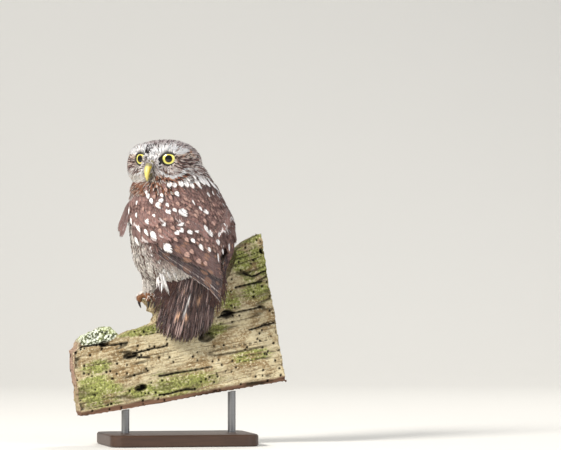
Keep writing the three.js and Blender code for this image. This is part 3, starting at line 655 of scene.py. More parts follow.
class Finish:
    """A material with a short way to add shader nodes to it."""

    def __init__(self, name, roughness, specular=0.5, metallic=0.0, **inputs):
        self.material = bpy.data.materials.new(name)
        self.material.use_nodes = True
        self.nodes = self.material.node_tree.nodes
        self.links = self.material.node_tree.links
        self.shader = self.nodes["Principled BSDF"]
        first = {"Roughness": roughness, "Specular IOR Level": specular, "Metallic": metallic}
        for key, value in (first | inputs).items():
            self.shader.inputs[key.replace("_", " ")].default_value = value

    def put(self, socket, value):
        value = getattr(value, "socket", value)
        if hasattr(value, "is_output"):
            self.links.new(value, socket)
        elif not hasattr(socket.default_value, "__len__"):
            socket.default_value = value
        else:
            wanted = len(socket.default_value)
            value = list(value) if hasattr(value, "__len__") else [value] * wanted
            socket.default_value = (value + [1.0] * wanted)[:wanted]

    def node(self, kind, inputs=(), **options):
        """A shader node's outputs."""
        made = self.nodes.new("ShaderNode" + kind)
        for key, value in options.items():
            setattr(made, key, value)
        for key, value in dict(inputs).items():
            self.put(made.inputs[key], value)
        return made.outputs

    def maths(self, operation, *values):
        return Value(self, self.node("Math", enumerate(values), operation=operation)[0])

    def wave(self, turns):
        return self.maths("SINE", turns * 2 * math.pi)

    def step(self, value, low, high):
        """0 below low, 1 above high, smooth between."""
        inputs = {"Value": value, "From Min": low, "From Max": high}
        return Value(self, self.node("MapRange", inputs, interpolation_type="SMOOTHSTEP")["Result"])

    def mix(self, share, first, second, way="MIX"):
        return self.node("Mix", {0: share, 6: first, 7: second}, data_type="RGBA", blend_type=way)[2]

    def mapped(self, where, scale=(1, 1, 1), turn=(0, 0, 0)):
        return self.node("Mapping", {"Vector": where, "Rotation": turn, "Scale": scale})[0]

    def place(self, scale=(1, 1, 1), turn=(0, 0, 0)):
        """Object coordinates, turned and scaled."""
        return self.mapped(self.node("TexCoord")["Object"], scale, turn)

    def noise(self, where, scale, detail=4.0, rough=0.5, bend=0.0):
        inputs = {"Vector": where, "Scale": scale, "Detail": detail, "Roughness": rough, "Distortion": bend}
        return Value(self, self.node("TexNoise", inputs)["Fac"])

    def cells(self, where, scale):
        return self.node("TexVoronoi", {"Vector": where, "Scale": scale})["Distance"]

    def attribute(self, name, output="Color"):
        return Value(self, self.node("Attribute", attribute_name=name)[output])

    def parts(self, vector):
        return [Value(self, part) for part in self.node("SeparateXYZ", {"Vector": vector})]

    def shaded(self, tone, shade):
        """A tone made darker where shade is below 1."""
        grey = self.node("CombineColor", {"Red": shade, "Green": shade, "Blue": shade})[0]
        return self.mix(1.0, tone, grey, "MULTIPLY")

    def layers(self, base, *coats):
        """A base tone with coats over it, each a share and a tone."""
        for share, tone in coats:
            base = self.mix(share, base, tone)
        return base

    def colour(self, *layers):
        self.put(self.shader.inputs["Base Color"], self.layers(*layers))

    def bump(self, height, distance, strength=1.0):
        inputs = {"Height": height, "Distance": distance, "Strength": strength}
        self.put(self.shader.inputs["Normal"], self.node("Bump", inputs)[0])


PALE_RIM = (0.78, 0.68, 0.63)
SPOT_RING = (0.045, 0.028, 0.026)


@functools.cache
def feather_finish():
    """A ground with a shaft streak, bars, a spot near the tip and a pale rim, crossed by barbs, and darkened
    towards the root as painted shade where the feathers overlap.
    """
    finish = Finish("feather vanes", 0.78, specular=0.25, Sheen_Weight=0.12, Sheen_Roughness=0.5)
    u, v, _ = finish.parts(finish.node("UVMap", uv_map="vane")[0])
    spot, streak, bars = finish.parts(finish.attribute("pattern", "Vector"))
    across = abs(u * 2.0 - 1.0)
    uneven = finish.noise(finish.place(), 520.0, 3.0) * 0.5 - 0.25
    patches = finish.noise(finish.place(), 130.0, 2.0)

    streak_mask = finish.step(streak - (across + uneven), -0.06, 0.1)
    web = (across - 0.52) ** 2.0
    bar_edge = finish.wave(v * bars + finish.attribute("mark", "Alpha")) - uneven * 1.6
    bar_edge = bar_edge + (web * -3.5 + (patches * 2.2 - 1.1))
    bar_mask = finish.step(bar_edge, 0.2, 0.9) * finish.step(bars, 0.4, 0.6) * 0.75
    spot_far = ((across / 0.62) ** 2.0 + ((v - 0.8) / 0.17) ** 2.0) ** 0.5
    spot_edge = spot - (spot_far + uneven)
    marked = finish.maths("MAXIMUM", streak_mask, bar_mask)
    marked = finish.maths("MAXIMUM", marked, finish.step(spot_edge, -0.26, 0.12))
    rim = finish.step(across, 0.66, 0.96) * finish.attribute("ground", "Alpha")
    ring = finish.step(spot_edge, -0.75, -0.2) * finish.step(spot, 0.3, 0.9) * 0.55
    tone = finish.layers(finish.attribute("ground"), (rim, PALE_RIM), (ring, SPOT_RING),
                         (marked, finish.attribute("mark")))

    barb = finish.wave((v + across * -0.12) * 34.0)
    shade = barb * 0.05 + (patches * 0.5 + 0.76)
    # Painted shade: each vane is darkened towards its root, where the feathers overlap; the darker shaft and
    # the noise patches are the feathers' own tone.
    shade = shade * (finish.step(across, 0.1, 0.03) * -0.3 + 1.0) * (finish.step(v, 0.15, 0.72) * 0.36 + 0.64)
    finish.colour(finish.shaded(tone, shade))
    finish.bump(barb, 0.00008, 0.5)
    return finish.material


def skin_finish():
    finish = Finish("owl skin and down", 0.85, specular=0.2)
    down = finish.noise(finish.place(), 700.0)
    finish.colour(finish.shaded(finish.attribute("ground"), down * 0.5 + 0.55))
    finish.bump(down, 0.0004)
    return finish.material


# Feather shapes
def closed_strip(points, faces, rings, tip, flip):
    """Adds a closed strip of three-sided rings that ends in a tip."""
    start = len(points)
    for ring in rings:
        points.extend(ring)
    points.append(tip)
    sides = ((1, 0), (0, 2), (2, 1))
    made = [(0, 1, 2)]
    for near in range(0, 3 * len(rings) - 3, 3):
        for a, b in sides:
            made.append((near + a, near + b, near + b + 3))
            made.append((near + a, near + b + 3, near + a + 3))
    end = 3 * len(rings)
    made.extend((end - 3 + a, end - 3 + b, end) for a, b in sides)
    for face in made:
        face = face[::-1] if flip else face
        faces.append([start + i for i in face])


def vane_template(barbs, outline, sweep, outer=1.0, ragged=0.1, shaft=0.05, seed=1):
    """One feather in its own frame: across -1 to 1, along 0 to 1, height 0 on its upper face.

    It is a shaft with a strip for each group of barbs, which runs out and towards the tip. Returns its
    points, its triangles and each point's share across and along.
    """
    draw = np.random.default_rng(seed)
    edge = smooth_table(outline)
    points = []
    faces = []

    def width(along):
        return float(edge(along)[0])

    reach = 1 - sweep * 0.75
    gap = reach / barbs
    for side in (1, -1):
        web = outer if side < 0 else 1.0
        for i in range(barbs):
            base = gap * (i + 0.15 * draw.uniform(-1, 1))
            lean = sweep * (1 + ragged * draw.uniform(-1, 1))
            far = min(base + lean, 0.995)
            out = width(far) * web * (1 + ragged * draw.uniform(-1, 0.4))
            half = gap * 0.66
            rings = []
            for share in (0.0, 0.72):
                along = base + (far - base) * share ** 1.2
                s = side * out * share
                rings.append([(s, along - half, 0), (s, along + half, 0.35), (s, along, -1)])
            closed_strip(points, faces, rings, (side * out, far + half * 0.4, -0.3), side < 0)
    for stations, height, top in ((((reach * 0.97, 0.16), (0.96, 0.13)), 0.1, (0, 1.0, -0.3)),
                                  (((0.0, shaft * 1.4), (0.5, shaft)), 0.5, (0, 0.96, 0.3))):
        rings = [[(w, along, height), (-w, along, height), (0, along, -1.1)] for along, w in stations]
        closed_strip(points, faces, rings, top, False)
    points = np.array(points)
    width_there = np.array([max(width(along), 0.25) for along in points[:, 1].clip(0, 1)])
    across = np.clip(points[:, 0] / width_there, -1, 1)
    shares = np.column_stack([across / 2 + 0.5, points[:, 1].clip(0, 1)])
    return points, np.array(faces), shares


def blade_template():
    """A narrow tuft of barbs, in a feather's own frame."""
    points = []
    faces = []
    stations = ((0, 0.5), (0.35, 1), (0.72, 0.72))
    rings = [[(w, along, 0), (-w, along, 0), (0, along, -1)] for along, w in stations]
    closed_strip(points, faces, rings, (0, 1, 0), False)
    points = np.array(points, float)
    # The share along starts at 0.5, so the painted shade towards the root is weaker on tufts.
    return points, np.array(faces), np.column_stack([points[:, 0] / 2 + 0.5, 0.5 + 0.5 * points[:, 1]])


BROAD = [[0, 0.3], [0.2, 0.7], [0.5, 1.0], [0.75, 0.98], [0.9, 0.72], [1, 0.3]]
NARROW = [[0, 0.3], [0.3, 0.8], [0.6, 1.0], [0.85, 0.62], [1, 0.15]]
LONG = [[0, 0.35], [0.15, 0.7], [0.4, 0.95], [0.75, 1.0], [0.92, 0.82], [1, 0.42]]


def lay_feathers(name, template, lines, normals, half, looks, roots,
                 thick=0.35, camber=0.12, tilt=0.0, paint=None):
    """One piece of joined feathers from a template and a line for each feather.

    lines and normals are (feathers, stations, 3), half is each feather's half width, and camber is how far
    its edges droop as a share of half. looks holds ground, mark and pattern for each feather, roots its place
    on the unwrap of the skin. paint(points, colours) may change the ground colour from place to place.
    """
    points, faces, shares = template
    count, stations = lines.shape[:2]
    half = np.broadcast_to(np.asarray(half, float), (count,))
    tilt = np.broadcast_to(np.asarray(tilt, float), (count,))
    along = np.clip(points[:, 1], 0, 1) * (stations - 1)
    low = np.minimum(along.astype(int), stations - 2)
    share = (along - low)[None, :, None]
    way = unit(np.gradient(lines, axis=1))
    sides = unit(np.cross(way, normals))
    outs = unit(np.cross(sides, way))
    turn = tilt[:, None, None]
    sides, outs = sides * np.cos(turn) + outs * np.sin(turn), outs * np.cos(turn) - sides * np.sin(turn)

    def at(values):
        return values[:, low] * (1 - share) + values[:, low + 1] * share

    across = points[None, :, 0] * half[:, None]
    height = points[None, :, 2] * thick - camber * half[:, None] * points[None, :, 0] ** 2
    placed = at(lines) + at(sides) * across[..., None] + at(outs) * height[..., None]
    every = (faces[None] + (np.arange(count) * len(points))[:, None, None]).reshape(-1, 3)
    mesh = mesh_from_arrays(placed.reshape(-1, 3), every)
    set_map(mesh, "vane", np.tile(shares, (count, 1)), every)
    patch = np.repeat(roots, len(points), axis=0) + (np.tile(shares, (count, 1)) - 0.5) * PATCH
    set_map(mesh, "OFBake", patch, every)
    ground = np.repeat(looks["ground"], len(points), axis=0)
    if paint is not None:
        ground[:, :3] = paint(placed.reshape(-1, 3), ground[:, :3])
    set_colour(mesh, "ground", ground)
    set_colour(mesh, "mark", np.repeat(looks["mark"], len(points), axis=0))
    set_vector(mesh, "pattern", np.repeat(looks["pattern"], len(points), axis=0))
    return make_piece(name, mesh, feather_finish(), smooth=False)


def looks_of(count, ground, mark, spot=0.0, streak=0.0, bars=0.0, rim=0.3, vary=0.12, seed=0):
    """Colours and pattern of each feather, varied a little in lightness."""
    draw = dice(seed)
    ground = np.broadcast_to(ground, (count, 3)) * draw.uniform(1 - vary, 1 + vary, (count, 1))
    mark = np.broadcast_to(mark, (count, 3))
    rim = np.broadcast_to(rim, (count,))[:, None]
    pattern = np.column_stack([np.broadcast_to(value, (count,)) for value in (spot, streak, bars)])
    return {
        "ground": np.hstack([ground, rim]),
        "mark": np.hstack([mark, draw.random((count, 1))]),
        "pattern": pattern,
    }


def walk(surface, roots, ways, lengths, low=0.0, high=0.0, stations=6):
    """Lines that start at roots and follow a surface, raised from low at the root to high at the tip.

    Returns their points and the surface's normals there.
    """
    count = len(roots)
    lines = np.empty((count, stations, 3))
    normals = np.empty((count, stations, 3))
    at, way = roots, ways
    step = np.asarray(lengths)[:, None] / (stations - 1)
    for k in range(stations):
        for i in range(count):
            lines[i, k], normals[i, k] = surface.find_nearest(at[i])[:2]
        way = unit(way - dot(way, normals[:, k]) * normals[:, k])
        at = lines[:, k] + way * step
    low = np.broadcast_to(low, (count,))[:, None]
    high = np.broadcast_to(high, (count,))[:, None]
    height = low + (high - low) * np.linspace(0, 1, stations)
    return lines + normals * height[..., None], normals


def scatter(points, triangles, spacing, seed):
    """Evenly scattered places on a surface, spacing(places) apart."""
    draw = dice(seed)
    corners = points[triangles]
    middles = corners.mean(axis=1)
    areas = np.linalg.norm(np.cross(corners[:, 1] - corners[:, 0], corners[:, 2] - corners[:, 0]), axis=1) / 2
    gaps = spacing(middles)
    weights = np.where(gaps > 0, areas / np.maximum(gaps, 0.1) ** 2, 0)
    count = int(weights.sum() * 7)
    chosen = draw.choice(len(triangles), count, p=weights / weights.sum())
    a, b = np.sqrt(draw.random(count)), draw.random(count)
    mix = np.stack([1 - a, a * (1 - b), a * b], axis=1)[..., None]
    places = (corners[chosen] * mix).sum(axis=1)
    reach = spacing(places)
    cell = float(reach.max())
    cells = {}
    kept = []
    keys = np.floor(places / cell).astype(int)
    for i in range(count):
        if reach[i] <= 0:
            continue
        kx, ky, kz = keys[i]
        near = [j for x in (-1, 0, 1) for y in (-1, 0, 1) for z in (-1, 0, 1)
                for j in cells.get((kx + x, ky + y, kz + z), ())]
        if near and np.min(((places[near] - places[i]) ** 2).sum(axis=1)) < reach[i] ** 2:
            continue
        cells.setdefault((kx, ky, kz), []).append(i)
        kept.append(i)
    return places[kept]


@functools.cache
def carrier():
    """The outer form of head, body and legs, which the feathers follow."""
    bm = bmesh.new()
    add_body(bm, BODY, 72, 60)
    add_head(bm)
    for foot in FEET:
        add_sweep(bm, leg_path(foot), LEG_SIZE, 24, 24, upright=(1, 0, 0))
    rump = [tail_point(d, 0, -1.7) for d in (-6, 6, 18, 28)]
    add_sweep(bm, rump, RUMP_SIZE, 20, 16, upright=TAIL_OUT)
    mesh = remeshed(mesh_of(bm), SKIN_STEP, 6)
    points, normals, triangles = arrays_of(mesh)
    surface = BVHTree.FromPolygons(points.tolist(), triangles.tolist())
    return SimpleNamespace(mesh=mesh, points=points, normals=normals, triangles=triangles, surface=surface)


# Markings, worked out from a place on the bird
def head_share(points):
    """1 on the head, 0 on the body."""
    place = in_head(points)
    floor = -13 - 0.26 * place[:, 0]
    return ease(place[:, 2], floor - 5, floor + 3)


def near_eye(place):
    """Distance from the nearer eye's middle, seen from the front, for places in the head's frame."""
    return np.hypot(np.abs(place[:, 1]) - EYE_FRONT[1] + 0.3, place[:, 2] - EYE_FRONT[2])


# Lines of the face, as distance from its middle and height in the head's frame
BROW = [(2, 11), (6, 14.5), (11, 16.2), (18, 16.4), (24, 15.6), (29, 14.4)]
CRESCENT = [(6.8, -2.5), (12, -6.7), (18.4, -9.5), (24, -11.3), (28.4, -9.9), (32, -7.4), (34, -3)]
DARK_BAND = [(8, -12.5), (13, -12.2), (19, -13.4), (25, -14.8), (31, -12.6), (35, -8.5)]
MOUSTACHE = [(7, -3.5), (13, -6), (20, -8.2)]
# Tones of the head's feathers in each region, with how often each occurs
HEAD_TONES = {
    "crown": [((196, 176, 172), 0.4), ((84, 60, 56), 0.27), ((240, 230, 228), 0.33)],
    "side": [((156, 120, 108), 0.38), ((74, 52, 46), 0.22), ((246, 236, 230), 0.4)],
    "forehead": [((250, 243, 241), 0.64), ((58, 40, 40), 0.24), ((186, 162, 156), 0.12)],
    "disc": [((196, 176, 168), 0.36), ((110, 86, 80), 0.22), ((240, 232, 228), 0.42)],
    "temple": [((236, 218, 204), 0.5), ((80, 56, 48), 0.3), ((186, 138, 110), 0.2)],
    "cheek": [((88, 64, 58), 0.42), ((226, 208, 198), 0.38), ((160, 122, 110), 0.2)],
    "under_eye": [((206, 188, 180), 0.4), ((244, 238, 234), 0.34), ((116, 88, 80), 0.26)],
    "lores": [((242, 237, 234), 0.6), ((150, 130, 122), 0.2), ((48, 38, 36), 0.2)],
    "middle": [((44, 30, 30), 0.5), ((250, 246, 244), 0.5)],
    "brow": [((255, 253, 252), 0.95), ((214, 200, 194), 0.05)],
    "moustache": [((128, 96, 80), 0.6), ((222, 208, 198), 0.4)],
    "crescent": [((255, 253, 252), 1.0)],
    "dark_band": [((176, 112, 82), 0.42), ((58, 38, 32), 0.4), ((214, 176, 150), 0.18)],
    "far_cheek": [((252, 246, 238), 0.84), ((214, 194, 178), 0.16)],
    "chin": [((214, 202, 186), 0.5), ((150, 132, 118), 0.3), ((90, 74, 66), 0.2)],
    "throat": [((184, 124, 92), 0.46), ((66, 42, 34), 0.3), ((240, 228, 216), 0.24)],
    "corner": [((22, 16, 16), 0.9), ((90, 74, 70), 0.1)],
}


def head_regions(place):
    """How surely each region of the head holds places in its frame, each over the ones before it."""
    face, left, up = place[:, 0], np.abs(place[:, 1]), place[:, 2]
    front = ease(face, 2, 10)
    speckled = ease(up, 12, 15)
    from_middle = np.abs(place[:, 1] + 2.7 + 1.3 * speckled)

    def line(knots, wide):
        return ease(near_lines(left, up, knots), wide + 0.5, wide - 0.5)

    return [
        ("side", ease(up, 15, 8) * ease(face, 14, 4)),
        ("forehead", front * ease(up, 13, 16) * ease(left, 24, 15) * ease(up, 24, 21)),
        ("disc", front * ease(up, 16, 12)),
        ("temple", ease(face, 2, 8) * ease(left, 20, 24) * ease(up, 6, 9) * ease(up, 18, 15)),
        ("cheek", ease(face, -2, 5) * ease(left, 20, 24) * ease(up, 9, 7) * ease(up, -6, -2)),
        ("under_eye", front * ease(up, -1, -3) * ease(left, 9, 12)),
        ("lores", front * ease(left, 12, 9.5) * ease(up, 10, 7) * ease(up, -9, -5)),
        ("brow", ease(face, 4, 11) * line(BROW, 4.4 - 1.6 * ease(left, 18, 28))),
        ("middle", front * ease(from_middle, 2.6 + 2.2 * speckled, 1.4 + 2.2 * speckled)
         * ease(up, 8, 10) * ease(up, 23, 20)),
        ("moustache", front * line(MOUSTACHE, 0.8)),
        ("chin", front * ease(up, -8, -10) * ease(left, 12, 9)),
        ("dark_band", ease(face, -4, 4) * line(DARK_BAND, 1.9) * ease(place[:, 1], -12, -6)),
        ("throat", ease(face, 0, 8) * ease(up, -15.5, -17.5)),
        ("crescent", ease(face, -2, 5) * line(CRESCENT, 1.35)),
        ("far_cheek", front * ease(up, -8, -9.5) * ease(up, -17, -15) * ease(place[:, 1], -5, -8)),
        ("corner", front * ease(near_lines(left, up, [(8.8, 7.4), (8.2, 3)]), 2.4, 1.4)),
    ]


def head_colours(place, seed=0, mean=False):
    """Colours of the head at places in its frame: a feather's own tone, or the mean of its region."""
    draw = dice(seed)
    colours = np.zeros((len(place), 3))
    for region, share in [("crown", np.ones(len(place)))] + head_regions(place):
        tones = np.array([srgb(*tone) for tone, _ in HEAD_TONES[region]])
        steps = np.cumsum([often for _, often in HEAD_TONES[region]])
        picked = tones[np.searchsorted(steps, draw.random(len(place)) * steps[-1] * 0.999)]
        held = share[:, None]
        if mean:
            picked = np.tile(np.average(tones, axis=0, weights=np.diff(steps, prepend=0)), (len(place), 1))
        else:
            held = held > draw.uniform(0.25, 0.75, (len(place), 1))
        colours = colours * (1 - held) + picked * held
    return colours


def markings(points):
    """Ground colour at places on the bird, in the owl's frame."""
    look = settings("owl_plumage")
    white, cream = look.white, look.cream
    brown, rufous = look.back_brown, look.rufous
    head = head_colours(in_head(points), mean=True)

    # Body
    angle = plumage_angle(points)
    z = points[:, 2]
    back = ease(np.abs(angle - 90), 96, 74)
    body = blend(cream, brown, back * ease(z, 176, 200))
    breast = (1 - back) * ease(z, 226, 246) * 0.75
    body = blend(body, brown * 1.1, breast)
    body = blend(body, rufous, (1 - back) * blob(z - 261, 4) * 0.7)
    body = blend(body, white, blob(z - 254, 4) * (1 - back) * 0.5)
    nape = blob(np.hypot((angle - 62) / 4.2, z - 262), 9) + blob(np.hypot((angle - 122) / 4.2, z - 262), 9)
    body = blend(body, white * 0.95, np.clip(nape * 1.3, 0, 1) * ease(z, 250, 256))
    return blend(body, head, head_share(points))


class OWL_OT_skin(Operator):
    """Skin: one closed form of head, neck, body and legs, which lies under the coat."""

    bl_idname = "owl.skin"
    bl_label = "Skin"

    def execute(self, context):
        look = settings("owl_plumage")
        form = carrier()
        head = head_share(form.points)
        place = in_head(form.points)
        depth = look.coat_depth * (1 - head) + 2.0 * head
        depth = depth - 0.8 * head * ease(place[:, 0], 5, 15)
        depth = depth - 1.2 * ease(form.points[:, 2], 166, 156) * (1 - head)
        for side in (1, -1):
            middle, sight = eye_axis(side)
            offset = form.points - middle
            away = np.linalg.norm(offset - dot(offset, sight) * sight, axis=1)
            ahead = (offset @ sight) > 0
            depth = depth + ahead * 5.0 * np.exp(-((away / 7.5) ** 4))
        mesh = form.mesh.copy()
        move_points(mesh, form.points - form.normals * depth[:, None])
        set_colour(mesh, "ground", markings(form.points))
        piece = make_piece("skin", mesh, skin_finish())
        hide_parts("head", "neck", "torso", "thigh_left", "thigh_right", "shank_left", "shank_right")
        return {"FINISHED"}


def unwrap_body(points):
    """Place on an unwrap of the body round its upright axis."""
    places = np.column_stack([(plumage_angle(points) + 180) / 360, (points[:, 2] - 140) / 150])
    return (places * [0.98, 0.96] + [0.01, 0.02]).clip(0.01, 0.99)


def unwrap_head(points):
    place = in_head(points)
    turn = np.degrees(np.arctan2(place[:, 1], place[:, 0]))
    rise = np.degrees(np.arctan2(place[:, 2], np.hypot(place[:, 0], place[:, 1])))
    return np.column_stack([(turn + 180) / 360, (rise + 90) / 180]) * [0.98, 0.96] + [0.01, 0.02]


BILL_BRISTLES = 640
FAR_BRISTLES = 90


class OWL_OT_head_coat(Operator):
    """Head feathers: crown, facial disc, brows, chin and nape."""

    bl_idname = "owl.head_coat"
    bl_label = "Head feathers"

    def execute(self, context):
        form = carrier()

        def spacing(points):
            place = in_head(points)
            gap = 1.5 - 0.45 * ease(place[:, 0], 2, 12)
            in_eye = (near_eye(place) < 6.4) & (place[:, 0] > 8)
            in_bill = (np.abs(place[:, 1]) < 2.2) & (np.abs(place[:, 2] + 6) < 5) & (place[:, 0] > 20)
            return np.where((head_share(points) > 0.25) & ~in_eye & ~in_bill, gap, 0)

        roots = scatter(form.points, form.triangles, spacing, 1)
        place = in_head(roots)
        draw = dice(2)
        side = np.sign(place[:, 1])
        eye = np.column_stack([np.full(len(roots), EYE_FRONT[0] - 2), side * (EYE_FRONT[1] - 1),
                               np.full(len(roots), EYE_FRONT[2])])
        from_eye = unit(place - eye)
        from_bill = unit(place - np.array([33.0, 0, -1.0]))
        lores = ease(np.abs(place[:, 1]), 12, 9) * ease(place[:, 2], 9, 6)
        disc = ease(place[:, 0], 4, 13) * blob(near_eye(place), 15) * (1 - lores)
        way = from_bill * (1 - disc[:, None]) + from_eye * disc[:, None] * 1.4
        way[:, 2] -= 0.9 * ease(place[:, 0], 0, -16)
        way += draw.normal(0, 0.12, way.shape)
        way = unit(way) @ HEAD_AXES
        face_share = ease(place[:, 0], 4, 14)
        eye_far = near_eye(place)
        rim = ease(eye_far, 12, 7) * face_share
        brow = ease(near_lines(np.abs(place[:, 1]), place[:, 2], BROW), 4, 2) * face_share
        length = 8.4 - 3.2 * face_share + 1.0 * brow - 2.6 * rim * (1 - 0.6 * brow)
        length = length * draw.uniform(0.8, 1.2, len(roots))
        half = 0.95 - 0.38 * face_share + 0.25 * brow
        high = 0.4 + 1.6 * brow + draw.uniform(0, 0.7, len(roots)) * (1 - 0.5 * rim)
        lines, normals = walk(form.surface, roots, way, length, -2.0 + 0.9 * face_share, high, 5)
        ground = head_colours(in_head((lines[:, 2] + lines[:, 3]) / 2), 3)
        for share, name in ((face_share > 0.5, "coat_face"), (face_share <= 0.5, "coat_crown")):
            self.lay(name, lines[share], normals[share], half[share], ground[share], roots[share])

        # Bristles that start beside the bill and lie over its base
        bm = bmesh.new()
        add_head(bm)
        for path, size in ((UPPER_PATH, UPPER_SIZE), (LOWER_PATH, LOWER_SIZE)):
            add_sweep(bm, from_head(path), size, 24, 24, upright=HEAD_LEFT)
        points, _, triangles = arrays_of(remeshed(mesh_of(bm), FACE_STEP, 4))
        surface = BVHTree.FromPolygons(points.tolist(), triangles.tolist())
        count = BILL_BRISTLES
        left = draw.uniform(-7, 7, count)
        up = draw.uniform(-8, 9.5, count)
        side = np.where(left < 0, -1, 1)
        over = np.abs(left) < 3.2 + 0.8 * draw.random(count)
        roots = from_head(np.column_stack([np.full(count, 34.0), left, up]))
        kept = ~over | (up > 3.0) | ((np.abs(left) > 2.6) & (up < -2))
        outwards = np.where(over, 0.05, 0.75) * ease(up, -7, 0)
        way = np.column_stack([np.full(count, 0.4), side * outwards, np.full(count, -1.0)])
        way = unit(way + draw.normal(0, 0.16, way.shape)) @ HEAD_AXES
        length = np.where(over, np.maximum(up + 0.6, 3.6), 7.0) * draw.uniform(0.8, 1.15, count)
        roots = roots[kept]
        high = draw.uniform(0.5, 1.5, len(roots))
        lines, normals = walk(surface, roots, way[kept], length[kept], -0.8, high)
        tones = np.array([srgb(244, 238, 236), srgb(168, 150, 144), srgb(44, 34, 34)])
        ground = tones[draw.choice(3, len(roots), p=[0.56, 0.22, 0.22])]
        self.lay("bristles", lines, normals, 0.36, ground, roots)

        # Long bristles that stand before the far eye's inner corner
        count = FAR_BRISTLES
        left, up = draw.uniform(-8.5, -4.5, count), draw.uniform(0, 11, count)
        roots = from_head(np.column_stack([np.full(count, 30.0), left, up]))
        starts, normals = walk(form.surface, roots, np.tile(HEAD_FACE, (count, 1)), np.full(count, 0.1))
        way = unit(np.array([0.75, -0.75, -0.15]) + draw.normal(0, 0.12, (count, 3))) @ HEAD_AXES
        run = np.linspace(-1.0, 3.9, 6)[None, :, None]
        ground = tones[draw.choice(3, count, p=[0.6, 0.26, 0.14])]
        self.lay("far_bristles", starts + way[:, None] * run, normals, 0.34, ground, roots)
        return {"FINISHED"}

    def lay(self, name, lines, normals, half, ground, roots):
        looks = looks_of(len(lines), ground, (0, 0, 0), rim=0, vary=0.08, seed=3)
        roots = unwrap_head(roots)
        piece = lay_feathers(name, blade_template(), lines, normals, half, looks, roots, thick=0.22)


class OWL_OT_body_coat(Operator):
    """Body feathers: breast, belly, flanks, neck, back and legs."""

    bl_idname = "owl.body_coat"
    bl_label = "Body feathers"

    def execute(self, context):
        look = settings("owl_plumage")
        form = carrier()

        def spacing(points):
            z = points[:, 2]
            low = ease(z, 172, 160)
            gap = look.body_spacing * (1 - low) + 2.3 * low
            neck = ease(z, 244, 262)
            gap = gap * (1 - neck) + 2.9 * neck
            return np.where((head_share(points) < 0.6) & (z > 150), gap, 0)

        roots = scatter(form.points, form.triangles, spacing, 4)
        draw = dice(5)
        z = roots[:, 2]
        angle = plumage_angle(roots)
        way = np.tile([0.0, 0.25, -1.0], (len(roots), 1))
        way += draw.normal(0, 0.1, way.shape)
        low = ease(z, 172, 160)
        length = 16 - 6.5 * low - 3.0 * ease(z, 244, 262)
        length = length * draw.uniform(0.85, 1.15, len(roots))
        half = 3.6 - 1.7 * low - 0.7 * ease(z, 244, 262)
        lines, normals = walk(form.surface, roots, way, length, -look.coat_depth - 0.6 + 1.6 * low, 0.4)
        ground = markings(roots)
        back = ease(np.abs(angle - 90), 96, 74)
        white = look.white * 0.95
        streaked = (1 - back) * ease(z, 168, 182) * (draw.random(len(roots)) < 0.62)
        spotted = np.clip(back + ease(z, 232, 246), 0, 1) * (draw.random(len(roots)) < 0.35)
        mark = blend(np.tile(srgb(98, 66, 52), (len(roots), 1)), white, spotted)
        streak = 0.34 * streaked * (1 - spotted)
        spot = spotted * draw.uniform(0.5, 1.0, len(roots))
        groups = {
            "coat_legs": z < 170,
            "coat_belly": (z >= 170) & (z < 205),
            "coat_breast": (z >= 205) & (z < 246),
            "coat_neck": z >= 246,
        }
        template = vane_template(5, BROAD, 0.24, ragged=0.22)
        for name, chosen in groups.items():
            parts = [values[chosen] for values in (ground, mark, spot, streak)]
            looks = looks_of(int(chosen.sum()), *parts, rim=0.35, seed=6)
            places = unwrap_body(roots[chosen])
            piece = lay_feathers(name, template, lines[chosen], normals[chosen], half[chosen], looks, places)
        return {"FINISHED"}


# Wings: tiers of long feathers and the coverts over them. first and last are the lines of a tier's end
# feathers: degrees round the plumage and height of root, bend and tip
PRIMARY = dict(count=9, lift=-5.4, step=0.22, sink=0.4, tilt=0.12)
SECONDARY = dict(half=(5.0, 5.8), lift=-2.2, step=0.1, sink=3, tilt=0.1)
LEFT_LONG = {
    "primaries": PRIMARY | dict(first=[(3, 209), (45, 174), (119, 145)],
                                last=[(15, 218), (58, 189), (112, 167)], half=(4.6, 5.4), rise=2.0),
    "secondaries": SECONDARY | dict(first=[(14, 209), (56, 190), (106, 168)],
                                    last=[(55, 225), (79, 213), (97, 197)], count=9, rise=2.0),
}
RIGHT_LONG = {
    "primaries": PRIMARY | dict(first=[(3, 209), (38, 184), (68, 164)],
                                last=[(15, 218), (46, 195), (63, 182)], half=(4.6, 5.0), rise=-1.0),
    "secondaries": SECONDARY | dict(first=[(14, 209), (44, 197), (59, 185)],
                                    last=[(52, 225), (64, 215), (71, 206)], count=8, rise=-1.2),
}
COVERTS = {
    "greater_coverts": dict(first=[(-6, 222), (0, 212), (10, 202)], last=[(50, 231), (61, 220), (73, 209)],
                            count=12, half=(4.6, 5.2), lift=-0.2, step=0.03, sink=4.4, rise=0.4, tilt=0.1),
    "median_coverts": dict(first=[(-11, 237), (-6, 228), (0, 217)], last=[(34, 243), (42, 233), (51, 221)],
                           count=12, half=(4.2, 4.8), lift=1.2, step=0.03, sink=6.0, rise=0.2, tilt=0.1),
    "scapulars": dict(first=[(43, 245), (51, 234), (58, 222)], last=[(69, 228), (78, 219), (85, 208)],
                      count=7, half=(5.0, 5.8), lift=1.4, step=0.05, sink=6.0, rise=0.3, tilt=0.1),
}
ALULA = dict(first=[(-19, 246), (-27, 233), (-33, 216)], last=[(-13, 238), (-18, 226), (-19, 209)],
             count=5, half=(4.8, 4.6), lift=-0.2, step=0.2, sink=3, rise=9, tilt=0.5)


